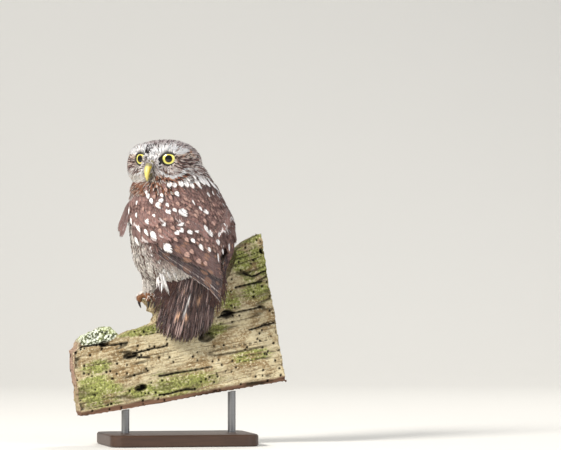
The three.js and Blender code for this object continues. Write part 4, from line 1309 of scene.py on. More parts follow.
def tier_lines(tier, stations=11, seed=0):
    """Lines, normals, half widths and root places of a tier of feathers on the owl's left side."""
    draw = dice(seed)
    count = tier["count"]
    share = np.linspace(0, 1, count)[:, None, None]
    first, last = np.array(tier["first"], float)[None], np.array(tier["last"], float)[None]
    knots = first * (1 - share) + last * share
    knots = knots + draw.normal(0, 1, knots.shape) * [[[0.4, 0.5], [0.5, 0.5], [0.8, 1.2]]]
    t = np.linspace(0, 1, stations)[None, :, None]
    route = (1 - t) ** 2 * knots[:, :1] + 2 * t * (1 - t) * knots[:, 1:2] + t * t * knots[:, 2:]
    t = t[..., 0]
    lift = tier["lift"] + tier["step"] * np.arange(count)[:, None] + tier["rise"] * t * t
    lift = lift - tier["sink"] * np.maximum(0, 1 - t / 0.3) ** 1.5
    lines = on_plumage(route[..., 0], route[..., 1], lift)
    normals = plumage_normal(route[..., 0], route[..., 1])
    half = np.linspace(tier["half"][0], tier["half"][1], count)
    roots = np.column_stack([(knots[:, 0, 0] + 40) / 180, (knots[:, 0, 1] - 190) / 70])
    return lines, normals, half, roots


def lay_tier(name, tier, template, looks, side, stations=11, seed=0):
    lines, normals, half, roots = tier_lines(tier, stations, seed)
    tilt = tier["tilt"]
    if side < 0:
        lines, normals, tilt = lines * [-1, 1, 1], normals * [-1, 1, 1], -tilt
        roots = roots * [-1, 1] + [1, 0]
    return lay_feathers(name, template, lines, normals, half, looks, roots.clip(0.01, 0.99), 0.45, 0.14, tilt)


class OWL_OT_wings(Operator):
    """Wings: primaries, secondaries, coverts, scapulars and alula of both folded wings."""

    bl_idname = "owl.wings"
    bl_label = "Wings"

    def execute(self, context):
        look = settings("owl_plumage")
        brown, flight = look.back_brown, look.flight_brown
        white, buff = look.white, look.buff
        long_vane = vane_template(44, LONG, 0.1, outer=0.8, ragged=0.12, shaft=0.07, seed=7)
        covert_vane = vane_template(12, BROAD, 0.2, ragged=0.18, shaft=0.06, seed=8)
        for side, name, long_tiers in ((1, "left", LEFT_LONG), (-1, "right", RIGHT_LONG)):
            draw = dice(9 + side)
            for tier_name, tier in long_tiers.items():
                count = tier["count"]
                ground = flight if tier_name == "primaries" else blend(flight, brown, 0.5)
                mark = blend(ground, buff, 0.55 if tier_name == "primaries" else 0.7)
                rim = np.full(count, 0.15)
                if tier_name == "primaries":
                    rim[[0, 3]] = 1.4
                bars = 4.6 if tier_name == "primaries" else 3.4
                looks = looks_of(count, ground, mark, bars=bars, rim=rim, vary=0.16, seed=10 + side)
                lay_tier(f"wing_{name}_{tier_name}", tier, long_vane, looks, side, seed=11)
            for tier_name, tier in COVERTS.items():
                count = tier["count"]
                often = 0.35 if side > 0 else 0.75
                spot = draw.uniform(0.3, 1.0, count) * (draw.random(count) < often)
                mark = blend(brown, white, 0.5 if side > 0 else 1.0)
                looks = looks_of(count, brown, mark, spot=spot, rim=0.5, vary=0.22, seed=12 + side)
                lay_tier(f"wing_{name}_{tier_name}", tier, covert_vane, looks, side, 7, seed=13)
            looks = looks_of(ALULA["count"], blend(flight, brown, 0.6), white, rim=0.7, seed=14)
            lay_tier(f"wing_{name}_alula", ALULA, long_vane, looks, side, seed=15)
            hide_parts("wing_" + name)
        return {"FINISHED"}


def grid_surface(points):
    """A surface to find near points on, from a grid of points."""
    rows, columns = points.shape[:2]
    corners = [(i * columns + j, (i + 1) * columns + j) for i in range(rows - 1) for j in range(columns - 1)]
    cells = [(a, b, b + 1, a + 1) for a, b in corners]
    return BVHTree.FromPolygons(points.reshape(-1, 3).tolist(), cells)


# White spots of the back and wings by where the photo shows them: place, half width and half length
BACK_SPOTS = [
    (177.3, 194.2, 2.1, 3), (158.5, 205.9, 2.5, 4), (183.9, 213.2, 4.1, 4.6), (168.5, 211.8, 2.6, 3.2),
    (175, 210.3, 1.9, 2.2), (181, 224, 3.6, 2.6), (147.9, 196.4, 1.8, 3.4), (151.3, 201.5, 1.8, 3.5),
    (146.4, 193, 1.4, 2), (161.1, 200.8, 2.5, 2.2), (161.8, 195.6, 1.5, 1.6), (167.3, 205.2, 1.6, 1.8),
    (153.8, 215.4, 1.4, 2.4), (146.9, 221.3, 1.9, 4), (138.4, 228.7, 1.9, 5.4), (164, 224.5, 2.1, 2.2),
    (153.8, 236, 2.6, 4.6), (146.4, 233, 1.6, 4), (168.5, 249.2, 3.8, 5.4), (136.9, 241.9, 2.2, 5.2),
    (128.8, 211, 1, 4.6), (131, 221.3, 1.2, 4.6), (136.2, 215.4, 1.3, 3), (136.5, 203, 1.1, 2.6),
    (177.3, 233, 2.4, 1.9), (181.7, 230.6, 2.4, 1.9), (190.5, 232.3, 2.7, 1.9), (197, 230.9, 2.4, 2.4),
    (206.6, 229.4, 1.9, 4), (211, 233.8, 2.8, 3.6), (206.6, 212.2, 3, 1.8), (200.8, 208.8, 1.4, 1.7),
    (208.8, 194.9, 1.7, 1.9), (213.2, 193.4, 1, 2.4), (193.4, 202.2, 0.9, 3.4), (225, 224.3, 1.7, 2),
    (224.6, 230.9, 2, 2.3), (218.4, 242.6, 2.5, 3), (229.4, 247.8, 1.3, 4), (201.5, 247.8, 2, 3.6),
    (209.6, 250, 1.8, 2.1), (193.4, 241, 2, 1.7), (218.5, 258.5, 0.9, 4.6), (223, 252, 1.1, 3),
]
NAPE_SPOTS = [
    (169.5, 185.2, 2.4, 3), (174.5, 185.6, 2.2, 3), (181, 184.6, 2.4, 3.4), (186.3, 185, 2.4, 3.4),
    (191.5, 186, 2.2, 3.4), (197, 183.6, 2.4, 3.8), (201.4, 181.6, 3, 4.4), (205.8, 183, 3, 4.8),
    (210.5, 184, 1.6, 5), (214, 187, 1.4, 5), (199, 187, 1.6, 2.4), (188, 180.5, 1.2, 2.4),
    (194, 178, 1.2, 2.6),
]
BUFF_SPOTS = [
    (154, 197, 1.8, 2.4), (186, 199, 1.8, 2.2), (149, 213, 1.5, 2.4), (165, 219, 1.9, 2.2),
    (188, 222, 1.9, 2.4), (173, 228, 1.9, 2.2), (160, 231, 1.7, 2.6), (205, 221, 1.8, 2.4),
    (214, 224, 1.7, 2.4), (187, 240, 1.8, 2.2), (176, 240, 1.6, 2.2), (207, 240, 1.8, 2.4),
    (197, 212, 1.8, 2), (178, 204, 1.8, 2), (166, 190, 1.6, 2), (187.5, 255.1, 2.7, 2.7),
    (199.3, 261.7, 2.6, 2.6), (205.9, 263.9, 2, 2), (192, 252, 2, 2), (160, 205, 1.6, 2),
    (171, 198, 1.5, 1.8), (190, 206, 1.5, 2.2), (196, 216, 1.5, 2.2), (143, 209, 1.4, 2.4),
    (157, 226, 1.5, 2.2), (172, 219, 1.6, 2), (203, 201, 1.4, 2), (214, 205, 1.4, 2),
    (219, 214, 1.3, 2.2),
]


def back_lie(angle, z, length, start):
    """Lines down the back, which draw together towards its middle; start is the share before the place."""
    own = np.where(angle > 90, 180 - angle, angle)
    drift = (0.75 * np.clip((92 - own) / 40, 0, 1) * np.where(angle > 90, -1, 1))[:, None]
    run = length[:, None] * (np.linspace(0, 1, 6) - start)
    drop = run * np.cos(np.arctan(drift))
    return angle[:, None] + drift * drop, z[:, None] - drop


class OWL_OT_mantle(Operator):
    """Mantle: small coverts over the shoulders and the back, and the feathers with white spots."""

    bl_idname = "owl.mantle"
    bl_label = "Mantle and small coverts"

    def lay(self, name, angle, z, length, start, low, high, half, looks, template):
        angles, heights = back_lie(angle, z, length, start)
        lift = low + (high - low) * np.linspace(0, 1, 6)[None, :] ** 0.8
        roots = np.column_stack([(angle + 60) / 300, (z - 195) / 65])
        lines, normals = on_plumage(angles, heights, lift), plumage_normal(angles, heights)
        piece = lay_feathers(name, template, lines, normals, half, looks, roots.clip(0.01, 0.99))

    def execute(self, context):
        look = settings("owl_plumage")
        draw = dice(20)
        rows = []
        for row, z in enumerate(np.arange(206, 263, 4.2)):
            edge = float(np.interp(z, [205, 213, 230, 243, 252], [-4, -10, -18, -24, -19]))
            low = float(np.interp(z, [205, 212, 226, 236], [82, 70, 45, edge]))
            low = max(edge, low) if z < 236 else edge
            angles = np.linspace(low, 180 - low, max(int((180 - 2 * low) / 5.4), 2)) + (2.7 if row % 2 else 0)
            rows.append(np.column_stack([angles, np.full(len(angles), z)]))
        roots = np.vstack(rows)
        roots = roots + draw.normal(0, 1, roots.shape) * [1.1, 0.8]
        roots = roots[(roots[:, 1] < 255) | (roots[:, 0] > 58)]
        angle, z = roots.T
        count = len(roots)
        length = draw.uniform(13, 16, count)
        unseen = (angle > 128) | (angle < -38)
        spot = np.where(draw.random(count) < np.where(unseen, 0.4, 0.3), draw.uniform(0.4, 0.9, count), 0.0)
        white, tan = look.white, np.array(srgb(190, 154, 140))
        mark = np.where(unseen[:, None], white, tan * draw.uniform(0.7, 1.15, (count, 1)))
        brown = look.back_brown
        looks = looks_of(count, brown, mark, spot=spot, rim=draw.uniform(0.2, 1.0, count), vary=0.36, seed=21)
        template = vane_template(7, BROAD, 0.22, ragged=0.2, seed=22)
        fine = vane_template(16, BROAD, 0.2, ragged=0.08, seed=24)
        self.lay("mantle", angle, z, length, 0, -3.2, 2.0, draw.uniform(3.4, 4.2, count), looks, template)

        surface = grid_surface(on_plumage(*np.meshgrid(np.arange(-180.0, 181, 4), np.arange(140.0, 268, 4),
                                                       indexing="ij"), 2.0))
        groups = (("spotted_feathers", BACK_SPOTS, white), ("buff_spotted_feathers", BUFF_SPOTS, tan))
        for name, rows, mark in groups:
            spots = np.array(rows, float)
            places = np.array([from_picture(x, y, surface) for x, y in spots[:, :2]])
            length = np.clip(spots[:, 3] * 4.9, 12, 25)
            looks = looks_of(len(spots), brown, mark, spot=1.3, rim=0.1, vary=0.15, seed=23)
            half = spots[:, 2] * 1.36
            self.lay(name, plumage_angle(places), places[:, 2], length, 0.8, -2.2, 2.9, half, looks, fine)

        # White feathers of the nape, which lie over the neck
        spots = np.array(NAPE_SPOTS, float)
        surface = carrier().surface
        places = np.array([from_picture(x, y, surface) for x, y in spots[:, :2]])
        length = spots[:, 3] * 3.4
        roots = places + np.array([0, 0, 0.7]) * length[:, None]
        way = np.tile([0.0, 0.0, -1.0], (len(spots), 1))
        lines, normals = walk(surface, roots, way, length, -1.5, 3.4)
        looks = looks_of(len(spots), white, white, rim=0.0, vary=0.05, seed=25)
        half = spots[:, 2] * 1.2
        piece = lay_feathers("nape_feathers", fine, lines, normals, half, looks, unwrap_body(roots))
        return {"FINISHED"}


TAIL_BARBS = 900
TAIL_COVERTS = 64
# Marks of the tail by where the photo shows them: place and radius
TAIL_SPOTS = [(164.7, 300, 2.4), (174, 295, 2.8), (183, 292, 2.4), (199, 301, 3.0), (177.7, 317, 2.8),
              (186, 318, 3.0), (206, 312, 2.0), (169, 308, 1.6)]
TAIL_STREAK = [(190, 296), (184, 316)]
# White wisps from the flank over the tail, from and to
WISPS = [((160, 273), (164.5, 287)), ((161.7, 274), (168.3, 294)), ((163, 276), (167, 290)),
         ((158, 277), (159, 289)), ((171, 268), (176, 277)), ((155, 268), (156, 281)),
         ((166, 268), (169, 279))]
WISPS_EACH = 5


class OWL_OT_tail(Operator):
    """Tail: twelve feathers, the middle ones on top, loose barbs over them and the coverts at its sides."""

    bl_idname = "owl.tail"
    bl_label = "Tail"

    def lay(self, name, template, share, start, end, half, colours, above, paint):
        """Feathers along the fan of the tail, from start to end in millimetres along it."""
        t = np.linspace(0, 1, 9)[None, :]
        along = start[:, None] + (end - start)[:, None] * t
        down = along / TAIL_LENGTH
        opened = TAIL_ROOT_SPREAD + (TAIL_SPREAD - TAIL_ROOT_SPREAD) * down.clip(0, 1.1) ** TAIL_OPENING
        across = share[:, None] * opened
        out = above[:, None] * (0.5 + 0.5 * down) - 2.6 * (across / 32) ** 2 * down
        lines = tail_point(along, across, out)
        normals = np.broadcast_to(TAIL_OUT, lines.shape)
        looks = looks_of(len(share), colours, settings("owl_plumage").buff, rim=0.1, seed=30)
        roots = np.column_stack([share * 0.35 + 0.5, 0.95 - start / TAIL_LENGTH * 0.9]).clip(0.01, 0.99)
        piece = lay_feathers(name, template, lines, normals, half, looks, roots, camber=0.08, paint=paint)
        return piece

    def execute(self, context):
        look = settings("owl_plumage")
        along, across = np.meshgrid(np.arange(0.0, 100, 6), np.arange(-40.0, 41, 5), indexing="ij")
        surface = grid_surface(tail_point(along, across, np.full(along.shape, 1.0)))
        (x0, y0), (x1, y1) = TAIL_STREAK
        streak = [(x0 + (x1 - x0) * t, y0 + (y1 - y0) * t, 1.0) for t in np.linspace(0, 1, 12)]
        buff, white = np.array(srgb(228, 182, 148)), look.white

        def paint(points, colours):
            spots = patch_share(points, TAIL_SPOTS, surface) * 0.9
            pale = patch_share(points, streak, surface) * 0.9
            return blend(blend(colours, buff, spots), white, pale)

        index = np.arange(RECTRICES)
        side = np.where(index < RECTRICES / 2, -1, 1)
        rank = np.where(side < 0, RECTRICES / 2 - index, index - RECTRICES / 2 + 1)
        share = (rank - 0.62) / (RECTRICES / 2 - 0.62)
        end = TAIL_LENGTH - TAIL_ROUNDING * share ** 2
        above = -1.05 * (rank - 1) - np.where(side < 0, 0.5, 0)
        template = vane_template(60, LONG, 0.14, ragged=0.3, shaft=0.05, seed=31)
        piece = self.lay("tail_feathers", template, side * share, end * 0, end, RECTRIX_HALF,
                         look.tail_brown, above, paint)
        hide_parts("tail")

        # Loose barbs
        draw = dice(32)
        count = TAIL_BARBS
        share = draw.uniform(-1.32, 1.32, count)
        long = draw.uniform(12, 24, count)
        last = TAIL_LENGTH - TAIL_ROUNDING * share ** 2 + 1.5
        start = draw.uniform(0.08, 1.0, count) * (last - long)
        tones = np.array([srgb(44, 32, 34), srgb(98, 74, 70), srgb(66, 48, 48), srgb(160, 136, 130)])
        colours = tones[draw.choice(4, count, p=[0.32, 0.28, 0.24, 0.16])]
        above = -1.05 * 5 * np.abs(share) + 1.3 + draw.uniform(0, 0.8, count)
        self.lay("tail_barbs", blade_template(), share, start, start + long, draw.uniform(0.4, 0.8, count),
                 colours, above, paint)

        # White wisps
        lines = []
        for start, end in WISPS:
            for _ in range(WISPS_EACH):
                shift = draw.normal(0, 0.7, 2)
                near = from_picture(*(np.array(start) + shift), surface)
                far = from_picture(*(np.array(end) + shift + draw.normal(0, 0.8, 2)), surface)
                lines.append([near + (far - near) * t + TAIL_OUT * (2.2 + t) for t in np.linspace(0, 1, 5)])
        lines = np.array(lines)
        looks = looks_of(len(lines), white, white, rim=0, vary=0.06, seed=34)
        normals = np.broadcast_to(TAIL_OUT, lines.shape)
        roots = unwrap_body(lines[:, 0])
        piece = lay_feathers("flank_wisps", blade_template(), lines, normals, 0.6, looks, roots)

        # Coverts at the tail's sides
        count = TAIL_COVERTS
        share = np.where(np.arange(count) % 2, 1, -1) * np.linspace(0.7, 1.85, count)
        start = draw.uniform(6, 14, count)
        template = vane_template(20, NARROW, 0.2, ragged=0.3, seed=33)
        end = start + draw.uniform(30, 56, count) * (1.14 - 0.14 * np.abs(share))
        above = -2.0 - 1.6 * np.abs(share) + draw.uniform(-0.6, 0.8, count)
        self.lay("tail_coverts", template, share, start, end, 3.6, look.tail_brown, above, paint)
        return {"FINISHED"}


def eye_point(side, ahead, around, turn):
    """A place by distance ahead of an eyeball's middle, distance from its line of sight and turn round it."""
    middle, sight = eye_axis(side)
    left = unit(np.cross([0, 0, 1], sight))
    up = np.cross(sight, left)
    return middle + sight * ahead + left * around * math.cos(turn) + up * around * math.sin(turn)


def eye_finish():
    """Iris with its rays and dark edge round the pupil, on a clear wet ball."""
    look = settings("owl_eyes")
    finish = Finish("eye", 0.05, specular=0.4, Coat_Weight=0.2, Coat_Roughness=0.02)
    far = finish.parts(finish.attribute("round", "Vector"))[0]
    far = (finish.noise(finish.place(), 900.0, 3.0) - 0.5) * 0.25 + far
    pupil, edge = look.pupil_radius, look.iris_radius
    iris = finish.layers((0.62, 0.48, 0.06), (finish.step(far, pupil, pupil + 1.4), look.iris),
                         (finish.step(far, edge - 1.0, edge + 0.2), (0.25, 0.2, 0.05)))
    finish.colour((0.004, 0.004, 0.004), (finish.step(far, pupil - 0.1, pupil + 0.12), iris),
                  (finish.step(far, edge, edge + 0.3), (0.006, 0.005, 0.005)))
    return finish.material


def plain_finish(name, dark, pale, roughness, scale, detail, height, specular):
    """Two tones, mottled and slightly rough."""
    finish = Finish(name, roughness, specular)
    tone = finish.noise(finish.place(), scale, detail)
    finish.colour(dark, (tone, pale))
    finish.bump(tone, height)
    return finish.material


class OWL_OT_eyes(Operator):
    """Eyes: the balls with iris and pupil, and the dark rims of the lids round them."""

    bl_idname = "owl.eyes"
    bl_label = "Eyes and lids"

    def execute(self, context):
        material = eye_finish()
        for side, name in ((1, "left"), (-1, "right")):
            middle, sight = eye_axis(side)
            bm = bmesh.new()
            add_ball(bm, 64, 48)
            turn = Vector((0, 0, 1)).rotation_difference(Vector(sight)).to_matrix().to_4x4()
            for vert in bm.verts:
                ahead = vert.co.z * EYE_DEEP + CORNEA * max(0.0, vert.co.z) ** 6
                vert.co = Vector((vert.co.x * EYE_R, vert.co.y * EYE_R, ahead))
            bmesh.ops.transform(bm, matrix=Matrix.Translation(Vector(middle)) @ turn, verts=bm.verts)
            mesh = mesh_of(bm)
            points, _, _ = arrays_of(mesh)
            offset = points - middle
            ahead = offset @ sight
            far = np.linalg.norm(offset - ahead[:, None] * sight, axis=1)
            far = np.where(ahead > 0, far, EYE_R * 2)
            set_vector(mesh, "round", np.column_stack([far, far * 0, far * 0]))
            ball = make_piece("eyeball_" + name, mesh, material)
            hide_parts("eye_" + name)

        # Lids: a dark rim round each opening, drawn out to a point towards the bill and lower behind
        bm = bmesh.new()
        for side in (1, -1):
            rings = 64
            section = 10
            rows = []
            for i in range(rings):
                turn = 2 * math.pi * i / rings
                inner = max(0.0, -math.cos(turn) * side) ** 9
                outer = max(0.0, math.cos(turn) * side) ** 9
                upper = max(0.0, math.sin(turn)) ** 3
                lower = max(0.0, -math.sin(turn)) ** 3
                radius = LID_R * (1 - 0.17 * upper - 0.1 * lower) + 1.4 * inner + 0.7 * outer
                ahead = EYE_DEEP * math.sqrt(1 - (min(radius, 7.6) / EYE_R) ** 2) + 0.4 + 0.8 * inner
                thick = 1.1 + 0.2 * upper - 0.15 * lower
                row = []
                for j in range(section):
                    angle = 2 * math.pi * j / section
                    out = radius + thick * math.cos(angle) * (1 - 0.4 * inner)
                    row.append(bm.verts.new(eye_point(side, ahead + 0.8 * math.sin(angle), out, turn)))
                rows.append(row)
            for i in range(rings):
                for j in range(section):
                    after = (i + 1) % rings
                    beside = (j + 1) % section
                    bm.faces.new((rows[i][j], rows[i][beside], rows[after][beside], rows[after][j]))
        dark, pale = (0.004, 0.003, 0.003), (0.03, 0.024, 0.022)
        skin = plain_finish("lid skin", dark, pale, 0.45, 1400.0, 3.0, 0.0001, 0.5)
        lids = make_piece("eyelids", mesh_of(bm), skin)
        return {"FINISHED"}


def bill_finish():
    """Yellow horn with a pale ridge and a darker tip and cere, and painted shade that makes the lower half
    nearly black.
    """
    look = settings("owl_eyes")
    finish = Finish("horn of the bill", 0.32)
    face, left, up = finish.parts(finish.attribute("place", "Vector"))
    lines = finish.noise(finish.place((1.0, 1.0, 0.35)), 900.0, 3.0)
    # Painted shade: the lower half and its sides are painted nearly black.
    lower = finish.step(face, 37.6, 36.2) * finish.step(up, -6.0, -8.0) * 0.85
    finish.colour(
        look.bill * 0.72,
        (lines, look.bill),
        (finish.step(abs(left), 2.9, 1.6) * 0.35, (0.75, 0.72, 0.35)),
        (finish.step(up, -12.5, -15.5), (0.3, 0.27, 0.12)),
        (lower, (0.09, 0.075, 0.06)),
        (finish.step(up, -1.5, 1.2), finish.mix(lines, (0.16, 0.14, 0.08), (0.34, 0.3, 0.16))),
    )
    finish.bump(lines, 0.00008)
    return finish.material


class OWL_OT_bill(Operator):
    """Bill: the hooked upper half with its cere and nostrils, and the lower half."""

    bl_idname = "owl.bill"
    bl_label = "Bill"

    def execute(self, context):
        material = bill_finish()

        halves = (("bill_upper", UPPER_PATH, UPPER_SIZE), ("bill_lower", LOWER_PATH, LOWER_SIZE))
        for name, path, size in halves:
            bm = bmesh.new()
            add_sweep(bm, from_head(path), size, 40, 48, upright=HEAD_LEFT)
            mesh = mesh_of(bm)
            points, normals, _ = arrays_of(mesh)
            place = in_head(points)
            pit = np.hypot(np.abs(place[:, 1]) - NOSTRIL_AT[0] + 0.4, place[:, 2] - NOSTRIL_AT[1])
            depth = 1.1 * blob(pit, 0.75) * (np.abs(place[:, 1]) > 1) * (name == "bill_upper")
            ridge = 0.25 * blob(pit, 1.7) * (name == "bill_upper")
            move_points(mesh, points + normals * (ridge - depth)[:, None])
            set_vector(mesh, "place", place)
            piece = make_piece(name + "_horn", mesh, material)
            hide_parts(name)
        return {"FINISHED"}


def toe_route(foot, outwards, reach, hangs):
    """A toe with its claw: points between two lengths along it, by a function, and the length to the claw."""
    x, y = foot
    turn = math.radians(outwards) * math.copysign(1, x)
    knots = []
    for share, beyond, height in HANGING_TOE if hangs else LEVEL_TOE:
        out = share * reach + beyond
        knots.append((x + out * math.sin(turn), y - out * math.cos(turn), LEDGE_Z + GAP + height))
    route = smooth_path(knots)(np.linspace(0, 1, 40))
    runs = runs_of(route)

    def stretch(start, end, count):
        at = np.linspace(start, end, count)
        return np.column_stack([np.interp(at, runs, line) for line in route.T])

    return stretch, runs[-1] - CLAW_LENGTH


class OWL_OT_feet(Operator):
    """Feet: scaly toes with round pads beneath, and curved dark claws."""

    bl_idname = "owl.feet"
    bl_label = "Feet and claws"

    def lay_bristles(self, name, foot, toes):
        """Pale bristly feathers on the upper side of the toes."""
        draw = dice(50 + len(name))
        lines = []
        normals = []
        for _, *shape in toes:
            stretch, claw_at = toe_route(foot, *shape)
            path = stretch(1.5, claw_at - 1.2, 12)
            for _ in range(TOE_BRISTLES):
                i = int(draw.triangular(0, 1, 11))
                way = unit(path[min(i + 1, 11)] - path[max(i - 1, 0)])
                across = unit(np.cross(way, [0.01, 0.0, 1.0]))
                over = np.cross(across, way)
                over = over * np.sign(over[2])
                turn = draw.uniform(-1.3, 1.3)
                out = over * math.cos(turn) + across * math.sin(turn)
                start = path[i] + out * 2.7
                lie = way + out * 0.25 + draw.normal(0, 0.1, 3)
                long = draw.uniform(2.6, 4.4)
                lines.append([start + lie * long * t + out * 0.3 * math.sin(math.pi * t)
                              for t in np.linspace(0, 1, 5)])
                normals.append([out] * 5)
        lines = np.array(lines)
        looks = looks_of(len(lines), settings("owl_plumage").cream, (0, 0, 0), rim=0, vary=0.15, seed=51)
        piece = lay_feathers(f"toe_bristles_{name}", blade_template(), lines, np.array(normals), 0.34, looks,
                             unwrap_body(lines[:, 0]), thick=0.2)

    def execute(self, context):
        look = settings("owl_eyes")
        skin = Finish("toe skin", 0.6, specular=0.4)
        pebbles = skin.cells(skin.place(), 1100.0)
        skin.colour(look.toe * 0.45, (skin.noise(skin.place(), 260.0, 3.0), look.toe),
                    (skin.step(pebbles, 0.35, 0.75), look.toe * 0.3))
        skin.bump(pebbles, -0.00025)
        horn = plain_finish("claw horn", look.claw * 0.5, look.claw, 0.28, 900.0, 4.0, 0.00005, 0.55)
        for name, foot, toes in (("left", FEET[0], TOES[0]), ("right", FEET[1], TOES[1])):
            bm = bmesh.new()
            ball = add_ball(bm, 24, 16, 4.9)
            bmesh.ops.scale(bm, vec=(1, 1, 0.78), verts=ball)
            bmesh.ops.translate(bm, vec=(*foot, LEDGE_Z + GAP + 4.6), verts=ball)
            for _, *shape in toes:
                stretch, claw_at = toe_route(foot, *shape)
                path = stretch(0, claw_at + 0.6, 12)
                add_sweep(bm, path, TOE_SIZE, 20, 28)
                for share in (0.5, 0.72, 0.92):
                    at = path[int(share * 11)]
                    pad = add_ball(bm, 14, 10, 1.9)
                    inward = np.array([foot[0] - at[0], foot[1] - at[1], -4.0])
                    middle = at + unit(inward) * 1.3
                    bmesh.ops.translate(bm, vec=Vector(middle), verts=pad)
            self.lay_bristles(name, foot, toes)
            mesh = remeshed(mesh_of(bm), TOE_STEP, 3)
            piece = make_piece("toes_" + name, mesh, skin.material)
            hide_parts("foot_" + name)
            for toe, *shape in toes:
                stretch, claw_at = toe_route(foot, *shape)
                bm = bmesh.new()
                add_sweep(bm, stretch(claw_at - 0.8, claw_at + CLAW_LENGTH, 10), CLAW_SIZE, 20, 28)
                claw = make_piece(f"talon_{name}_{toe}", mesh_of(bm), horn)
                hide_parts(f"claw_{name}_{toe}")
        return {"FINISHED"}


# Board
BOARD_OUTLINE = [
    (-99.2, 28), (110.6, 62.4), (84, 212.5), (67.8, 204), (57.6, 196), (54.6, 183), (49.5, 171),
    (43.3, 159), (29.5, 146), (-35, 146), (-34, 142), (-29.5, 137.4), (-30.5, 133.6), (-24, 131.4),
    (-24.6, 127), (-26, 123), (-38.5, 117.8), (-48.9, 115.6), (-60, 110.5), (-69.7, 118.6), (-78.8, 118),
    (-86.6, 113.2), (-95.7, 110.6), (-102.3, 105.5), (-104.3, 97.8), (-108.6, 95), (-108, 74), (-105.3, 62),
    (-103.4, 56), (-101.5, 35),
]
# Marks on its near face by where they show in the photo. Rot holes: place, half length along the grain, half
# width. Cracks: the points they pass. Patches: place, half length, half width.
ROT_HOLES = [(104.6, 344, 4.8, 2.9), (131.4, 356, 7, 3.3), (141.6, 388, 5.6, 3.0), (206.7, 337, 7.5, 4.6),
             (227.1, 314, 6.5, 3.8), (262, 251, 2.4, 2.2)]
CRACKS = [
    [(78, 347.5), (101, 344.6)],
    [(109, 345.5), (128, 342.7)],
    [(138, 357.4), (150, 357)],
    [(134, 353), (168, 346)],
    [(218, 317), (236, 312), (262, 307)],
    [(244, 273.3), (252.4, 275.9), (258.8, 274), (267, 270.8), (275, 271.4)],
    [(262, 233.6), (279, 230)],
    [(236, 287), (262, 281)],
    [(160, 376), (212, 367)],
    [(160, 395), (195, 389)],
    [(250, 330), (277, 322)],
]
ALGAE = [(96, 367, 18, 8), (98, 392, 30, 19), (184, 384, 40, 14), (248, 357, 22, 9), (140, 331, 26, 6),
         (242, 262, 14, 20), (264, 262, 16, 18), (230, 300, 14, 12), (252, 236, 20, 7), (258, 292, 20, 12),
         (140, 392, 20, 8), (216, 330, 16, 7)]
LICHEN = [(97, 336, 20, 9)]
BROWN_EDGE = 9.0


def lattice_noise(places, seed=0):
    """Smooth noise from -1 to 1 with one cell per unit."""
    cell = np.floor(places).astype(np.int64)
    t = places - cell
    t = t * t * (3 - 2 * t)
    total = np.zeros(len(places))
    for corner in np.ndindex(2, 2, 2):
        key = cell + corner
        mixed = key[:, 0] * 73856093 ^ key[:, 1] * 19349663 ^ key[:, 2] * 83492791 ^ (SEED + seed) * 2654435
        mixed = mixed & 0xFFFFFFFF
        mixed = ((mixed ^ (mixed >> 13)) * 1274126177) & 0xFFFFFFFF
        value = ((mixed >> 8) & 0xFFFF) / 32767.5 - 1
        total += value * np.prod(np.where(corner, t, 1 - t), axis=1)
    return total


def on_board(x, y):
    """The place on the board's near face that shows at a place of the photo, as along and height."""
    start, way = map(in_board, picture_ray(x, y))
    return (start + way * (BOARD_FACE - start[1]) / way[1])[[0, 2]]


def along_grain(x, z):
    """Distances along and across the grain, which steepens upwards."""
    slope = GRAIN_SLOPE + math.radians(7) * ease(z, 130, 215)
    return x * np.cos(slope) + z * np.sin(slope), z * np.cos(slope) - x * np.sin(slope)


def oval_share(x, z, marks, soft=0.35):
    """1 inside ovals that lie along the grain, given by the photo's places, 0 outside."""
    along, across = along_grain(x, z)
    share = np.zeros(len(x))
    for px, py, long, wide in marks:
        mx, mz = on_board(px, py)
        ma, mc = along_grain(mx, mz)
        far = np.hypot((along - ma) / long, (across - mc) / wide)
        share = np.maximum(share, ease(far, 1 + soft, 1 - soft))
    return share


